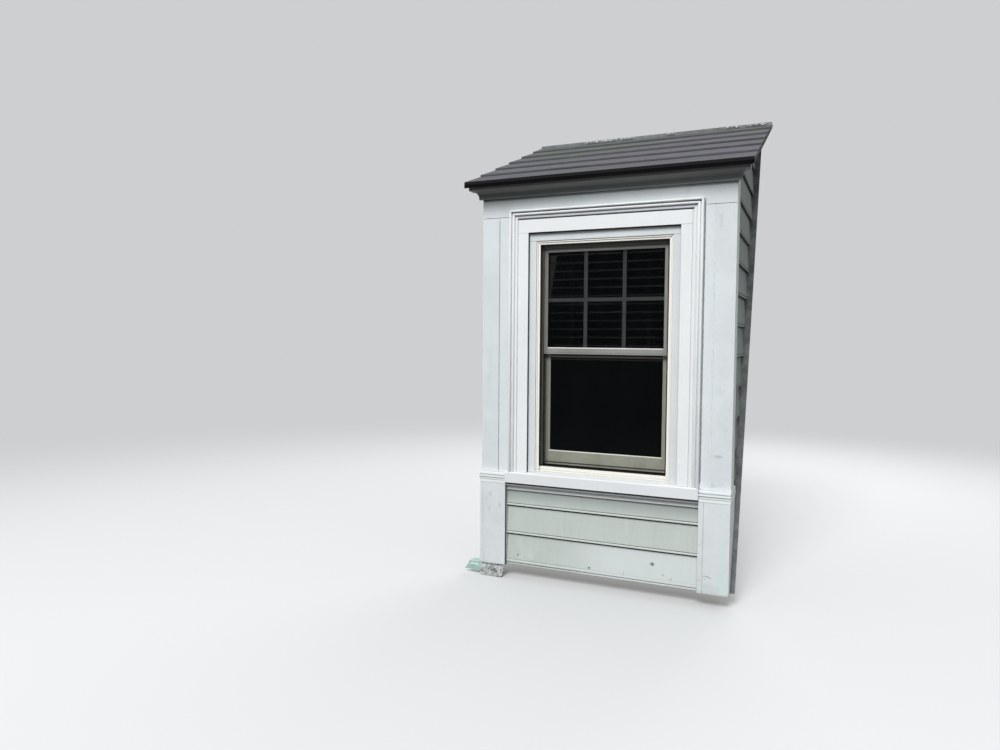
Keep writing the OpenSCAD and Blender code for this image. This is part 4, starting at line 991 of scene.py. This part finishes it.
# How far edges are eased, with the nodes that differ from the rest; sheet and glass stay sharp
PLAIN_EASE = 0.0015
EASES = {
    0: (
        "step_flashing", "head_flashing", "copper_apron", "apron_patch",
        "upper_panes", "lower_panes", "blind_slats", "blind_headrail",
    ),
    0.0005: ("sash_lock",),
    0.0006: (
        "grille_bars", "upper_sash", "lower_sash", "window_frame", "roof_edge",
        "panel_siding", "left_cheek_siding", "right_cheek_siding",
    ),
    0.0008: ("band_moulding",),
    0.001: ("crown_moulding",),
    0.0012: ("window_stops", "roof_courses"),
}
EASE_OF = {member: width for width, members in EASES.items() for member in members}


def ease_edges(node, width):
    """Joins a node's split vertices and flat faces, and rounds its sharp edges inwards."""
    weld = node.modifiers.new("weld", "WELD")
    weld.merge_threshold = 0.00001
    flat = node.modifiers.new("flat_faces", "DECIMATE")
    flat.decimate_type = "DISSOLVE"
    flat.angle_limit = math.radians(0.5)
    bevel = node.modifiers.new("eased_edges", "BEVEL")
    bevel.width = width
    bevel.segments = 2
    bevel.limit_method = "ANGLE"
    bevel.angle_limit = math.radians(35)


for members, finish in FINISHES.items():
    for member in members:
        nodes[member].material_slots[0].material = finish
        width = EASE_OF.get(member, PLAIN_EASE)
        if width:
            ease_edges(nodes[member], width)


def add_piece(name, verts, faces, finish):
    """A mesh piece that rides with the dormer, with the finish that it is given."""
    mesh = bpy.data.meshes.new(name)
    mesh.from_pydata(verts, [], faces)
    for polygon in mesh.polygons:
        polygon.use_smooth = True
    mesh.materials.append(finish)
    obj = bpy.data.objects.new(name, mesh)
    bpy.context.scene.collection.objects.link(obj)
    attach(obj, "root")
    return obj


FRONT = Vector((0, -1, 0))

# A ribbon's section as shares of its width and rise, and the distance between its sections
RIBBON_SECTION = ((-0.5, -0.3), (-0.3, 0.8), (0, 1), (0.3, 0.8), (0.5, -0.3))
RIBBON_STEP = 0.006
RAGGED_SCALE = 90


def path_points(path):
    """Points along a path, a ribbon's step apart."""
    points = []
    for a, b in zip(path, path[1:]):
        a, b = Vector(a), Vector(b)
        count = max(1, round((b - a).length / RIBBON_STEP))
        points += [a.lerp(b, i / count) for i in range(count)]
    points.append(Vector(path[-1]))
    return points


def ribbon(verts, faces, path, width, rise, ragged=0.35):
    """Adds a low crowned strip on the front along a path, ragged and narrower at its ends."""
    points = path_points(path)
    end = len(points) - 1
    first = len(verts)
    for i, point in enumerate(points):
        ahead = points[min(i + 1, end)] - points[max(i - 1, 0)]
        side = ahead.normalized().cross(FRONT)
        k = 1 + ragged * noise.noise(point * RAGGED_SCALE)
        k *= min(1, 0.25 + min(i, end - i) / 3)
        for s, h in RIBBON_SECTION:
            verts.append(point + side * (s * width * k) + FRONT * (h * rise * min(k, 1)))
    size = len(RIBBON_SECTION)
    for i in range(end):
        row = first + i * size
        for j in range(size - 1):
            faces.append((row + j, row + j + 1, row + size + j + 1, row + size + j))
        faces.append((row + size - 1, row, row + size, row + 2 * size - 1))
    faces.append(tuple(range(first, first + size)))
    last = first + end * size
    faces.append(tuple(range(last + size - 1, last - 1, -1)))


def ribbons(name, paths, width, rise, finish, slot, **options):
    verts, faces = [], []
    for path in paths:
        ribbon(verts, faces, path, width, rise, **options)
    return add_piece(name, verts, faces, finish)


CAULK = plain_mark("caulk_finish", srgb(150, 155, 154))
PALE_CAULK = plain_mark("pale_caulk_finish", srgb(226, 232, 234))
GRIME_LINE = plain_mark("grime_line_finish", srgb(72, 76, 74))
SOFT_GRIME = plain_mark("soft_grime_finish", srgb(168, 174, 173))
LINE_RISE = 0.0003


def joint_lines():
    """Grime and caulk in the joints of the boards round the window."""

    def upright(x, low, high):
        return [(x, BOARD_Y, low), (x, BOARD_Y, high)]

    z = FRIEZE_Z - 0.0003
    x = CORNER_X - 0.0003
    low = CAP_Z + 0.004
    band_ends = (CAP_Z + 0.03, BAND_HIGH.z - 0.002)
    ribbons("frieze_joint_lines", [
        [(-OUTER_X + 0.002, BOARD_Y, z), (BAND_LOW.x - 0.001, BOARD_Y, z)],
        [(BAND_HIGH.x + 0.009, BOARD_Y, z), (OUTER_X - 0.002, BOARD_Y, z)],
    ], 0.0024, LINE_RISE, GRIME_LINE, "white_paint")
    ribbons("left_joint_line", [
        upright(-x, low, z - 0.002),
    ], 0.0028, LINE_RISE, GRIME_LINE, "white_paint")
    ribbons("right_joint_caulk", [
        upright(x, low, z - 0.003),
    ], 0.008, 0.0006, PALE_CAULK, "white_paint")
    ribbons("band_caulk", [
        upright(BAND_HIGH.x + 0.003, *band_ends),
    ], 0.0085, 0.0016, CAULK, "casing_paint")
    ribbons("left_band_caulk", [
        upright(BAND_LOW.x - 0.0008, *band_ends),
    ], 0.003, 0.001, SOFT_GRIME, "casing_paint")


def scratches():
    """Scratches at the foot of the right plinth."""
    y = PLINTH_Y
    ribbons("plinth_scratches", [
        [(0.566, y, 0.091), (0.578, y, 0.097), (0.592, y, 0.094), (0.612, y, 0.086)],
        [(0.571, y, 0.08), (0.588, y, 0.083)],
    ], 0.003, 0.0004, GRIME_LINE, "white_paint", ragged=0.7)


# A nail head's rings, as shares of its radius and rise
DOME_RINGS = ((1, -0.2), (0.8, 0.6), (0.4, 1))
DOME_SIDES = 10


def domes(name, places, radius, rise, finish):
    """Nail heads: low domes on the front, each a little larger or smaller."""
    verts, faces = [], []
    side = FRONT.orthogonal().normalized()
    up = FRONT.cross(side)
    count = DOME_SIDES
    for place in places:
        first = len(verts)
        size = radius * (0.85 + 0.3 * RNG.random())
        for ring, (r, h) in enumerate(DOME_RINGS):
            for i in range(count):
                a = 2 * math.pi * i / count
                around = side * math.cos(a) + up * math.sin(a)
                verts.append(Vector(place) + around * size * r + FRONT * rise * h)
            if ring:
                low = first + (ring - 1) * count
                for i in range(count):
                    j = (i + 1) % count
                    faces.append((low + i, low + j, low + count + j, low + count + i))
        faces.append(tuple(range(first + 2 * count, first + 3 * count)))
        faces.append(tuple(range(first + count - 1, first - 1, -1)))
    return add_piece(name, verts, faces, finish)


# Where the nails are: their heights on the corner boards and how far from the boards' middle,
# then X and Z of those on the plinths and on the panel
BOARD_NAIL_HEIGHTS = (0.6, 0.95, 1.3, 1.65, 1.93)
BOARD_NAIL_OFF = 0.035
PLINTH_NAILS = (
    (PLINTH_X + 0.013, 0.07), (PLINTH_X + 0.013, 0.255), (-0.658, 0.38), (-0.57, 0.2),
)
PANEL_NAILS = ((-0.044, 0.047), (-0.466, 0.065), (0.304, 0.113))
PANEL_Y = BOARD_Y + 0.0035


def nails():
    """Painted nail heads on the boards, and the bare ones that show dark."""
    painted = painted_wood("nail_paint", shade(TRIM_WHITE, 0.9), "z")
    dark = plain_mark("nail_rust", srgb(64, 58, 52), 0.6)
    middle = (CORNER_X + OUTER_X) / 2
    on_boards = [
        (side * x, BOARD_Y, z)
        for side in (-1, 1)
        for x in (middle - BOARD_NAIL_OFF, middle + BOARD_NAIL_OFF)
        for z in BOARD_NAIL_HEIGHTS
    ]
    on_plinths = [(x, PLINTH_Y, z) for x, z in PLINTH_NAILS]
    on_panel = [(x, PANEL_Y, z) for x, z in PANEL_NAILS]
    domes("board_nails", on_boards, 0.0032, 0.0005, painted)
    domes("plinth_nails", on_plinths, 0.0034, 0.0006, SOFT_GRIME)
    domes("panel_nails", on_panel, 0.0038, 0.0009, dark)


# Torn bits: the left end and length of each, their cells across and down, their reach down the
# roof and their lift. The strips that they lie on are flatter than the roof.
BITS = ((-0.44, 0.09), (-0.33, 0.11), (-0.19, 0.09), (0.12, 0.05), (0.5, 0.08), (0.62, 0.12))
BIT_CELLS = (26, 6)
BIT_REACH = 0.03
BIT_LIFT = 0.01
BIT_RISE = math.tan(ROOF_PITCH) * 0.86


def bit_point(n, x, j, deep):
    """A point of a crumpled bit, j of its cells down the roof."""
    down = 0.004 + BIT_REACH * j / deep
    seed = Vector((x * 60, j * 0.9, n * 3.7))
    lift = BIT_LIFT + 0.006 * noise.noise(seed)
    y = HEAD_HIGH.y - 0.012 - down * math.cos(ROOF_PITCH) + 0.004 * noise.noise(seed * 2)
    z = HEAD_LOW.z + (y - HEAD_LOW.y) * BIT_RISE + 0.003 + lift
    return Vector((x, y, z))


def crumpled_bits():
    """Torn bright bits of flashing along the roof's head."""
    metal = bright_metal("bright_flashing")
    verts, faces = [], []
    across, deep = BIT_CELLS
    for n, (x0, length) in enumerate(BITS):
        first = len(verts)
        for i in range(across + 1):
            x = x0 + length * i / across
            verts += [bit_point(n, x, j, deep) for j in range(deep + 1)]
        for i in range(across):
            for j in range(deep):
                a = first + i * (deep + 1) + j
                faces.append((a, a + 1, a + deep + 2, a + deep + 1))
    bits = add_piece("torn_flashing", verts, faces, metal)
    solid = bits.modifiers.new("sheet", "SOLIDIFY")
    solid.thickness = 0.0006


joint_lines()
scratches()
nails()
crumpled_bits()

# Name, place, target, size and power of each lamp
LAMPS = (
    ("key", (0.4, -14.6, 15.6), (0, 0, 1.2), 10, 4050),
    ("back", (0.6, 6.0, 4.5), (0, 0.4, 1.4), 4.0, 170),
)
SKY_MIDDLE = (0.28, 0.283, 0.286, 1)
SKY_HIGH = (0.86, 0.875, 0.89, 1)
DARK_ROOM = (0.002, 0.002, 0.002, 1)
NO_GLOW = (0, 0, 0, 1)
FLOOR_REACH = 40
FLOOR_SIDES = 96
FLOOR_FADE = (3.5, 9.0)
FLOOR_SEEN = srgb(205, 206, 207)
FLOOR_LIT = srgb(100, 100, 100)


def make_camera():
    data = bpy.data.cameras.new("camera")
    data.sensor_width = SENSOR_MM
    data.lens = FOCAL_PX * SENSOR_MM / IMAGE_W
    camera = bpy.data.objects.new("camera", data)
    turn = Matrix.Rotation(CAMERA_TURN, 4, "Z")
    tilt = Matrix.Rotation(math.pi / 2 + CAMERA_TILT, 4, "X")
    roll = Matrix.Rotation(CAMERA_ROLL, 4, "Z")
    camera.matrix_world = Matrix.Translation(CAMERA_AT) @ turn @ tilt @ roll
    bpy.context.scene.collection.objects.link(camera)
    bpy.context.scene.camera = camera


def area_lamp(name, place, target, size, power):
    data = bpy.data.lights.new(name, "AREA")
    data.shape = "DISK"
    data.size = size
    data.energy = power
    lamp = bpy.data.objects.new(name, data)
    place, target = Vector(place), Vector(target)
    aim = (target - place).to_track_quat("-Z", "Y").to_matrix().to_4x4()
    lamp.matrix_world = Matrix.Translation(place) @ aim
    lamp.visible_camera = False
    lamp.visible_glossy = False
    bpy.context.scene.collection.objects.link(lamp)


def seen_rays(f):
    """Shares of the rays that show the backdrop, and of those that reach it through the panes."""
    path = f.add("LightPath").outputs
    seen = f.calc("MAXIMUM", path["Is Camera Ray"], path["Is Glossy Ray"])
    seen = f.calc("MAXIMUM", seen, path["Is Transmission Ray"])
    passed = f.calc("GREATER_THAN", path["Transparent Depth"], 0.5)
    return seen, f.times(passed, path["Is Camera Ray"])


def make_world():
    """Soft light from above for the object; a pale backdrop for the camera."""
    world = bpy.data.worlds.new("studio")
    f = Nodes(world)
    where = f.add("TexCoord").outputs["Generated"]
    height = f.add("SeparateXYZ", {0: where}).outputs["Z"]
    sky = f.mix(f.add("MapRange", {0: height}).outputs[0], SKY_MIDDLE, SKY_HIGH)
    seen, through = seen_rays(f)
    col = f.mix(through, f.mix(seen, sky, BACKGROUND), DARK_ROOM)
    f.feed(f.nodes["Background"].inputs["Color"], col)
    bpy.context.scene.world = world


def floor_finish():
    """Pale near the object, fading into the backdrop around it."""
    mat = bpy.data.materials.new("floor")
    f = Nodes(mat)
    f.nodes.clear()
    seen, through = seen_rays(f)
    col = f.mix(through, f.mix(seen, FLOOR_LIT, FLOOR_SEEN), DARK_ROOM)
    paint = f.add("BsdfDiffuse", {"Color": col}).outputs[0]
    glow = f.add("Emission", {"Color": f.mix(seen, NO_GLOW, BACKGROUND)}).outputs[0]
    place = f.add("TexCoord").outputs["Object"]
    away = f.add("VectorMath", {0: place}, operation="LENGTH").outputs["Value"]
    blend = f.add("MixShader", {0: f.ramp(away, *FLOOR_FADE), 1: paint, 2: glow}).outputs[0]
    f.add("OutputMaterial", {"Surface": blend})
    return mat


def make_floor():
    """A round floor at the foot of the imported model."""
    ring = []
    for i in range(FLOOR_SIDES):
        a = 2 * math.pi * i / FLOOR_SIDES
        ring.append((FLOOR_REACH * math.cos(a), FLOOR_REACH * math.sin(a), cad_box[0].z))
    mesh = bpy.data.meshes.new("floor")
    mesh.from_pydata(ring, [], [tuple(range(FLOOR_SIDES))])
    mesh.materials.append(floor_finish())
    floor = bpy.data.objects.new("floor", mesh)
    bpy.context.scene.collection.objects.link(floor)


make_camera()
make_world()
make_floor()
for lamp in LAMPS:
    area_lamp(*lamp)
bpy.context.scene.view_settings.view_transform = "Standard"
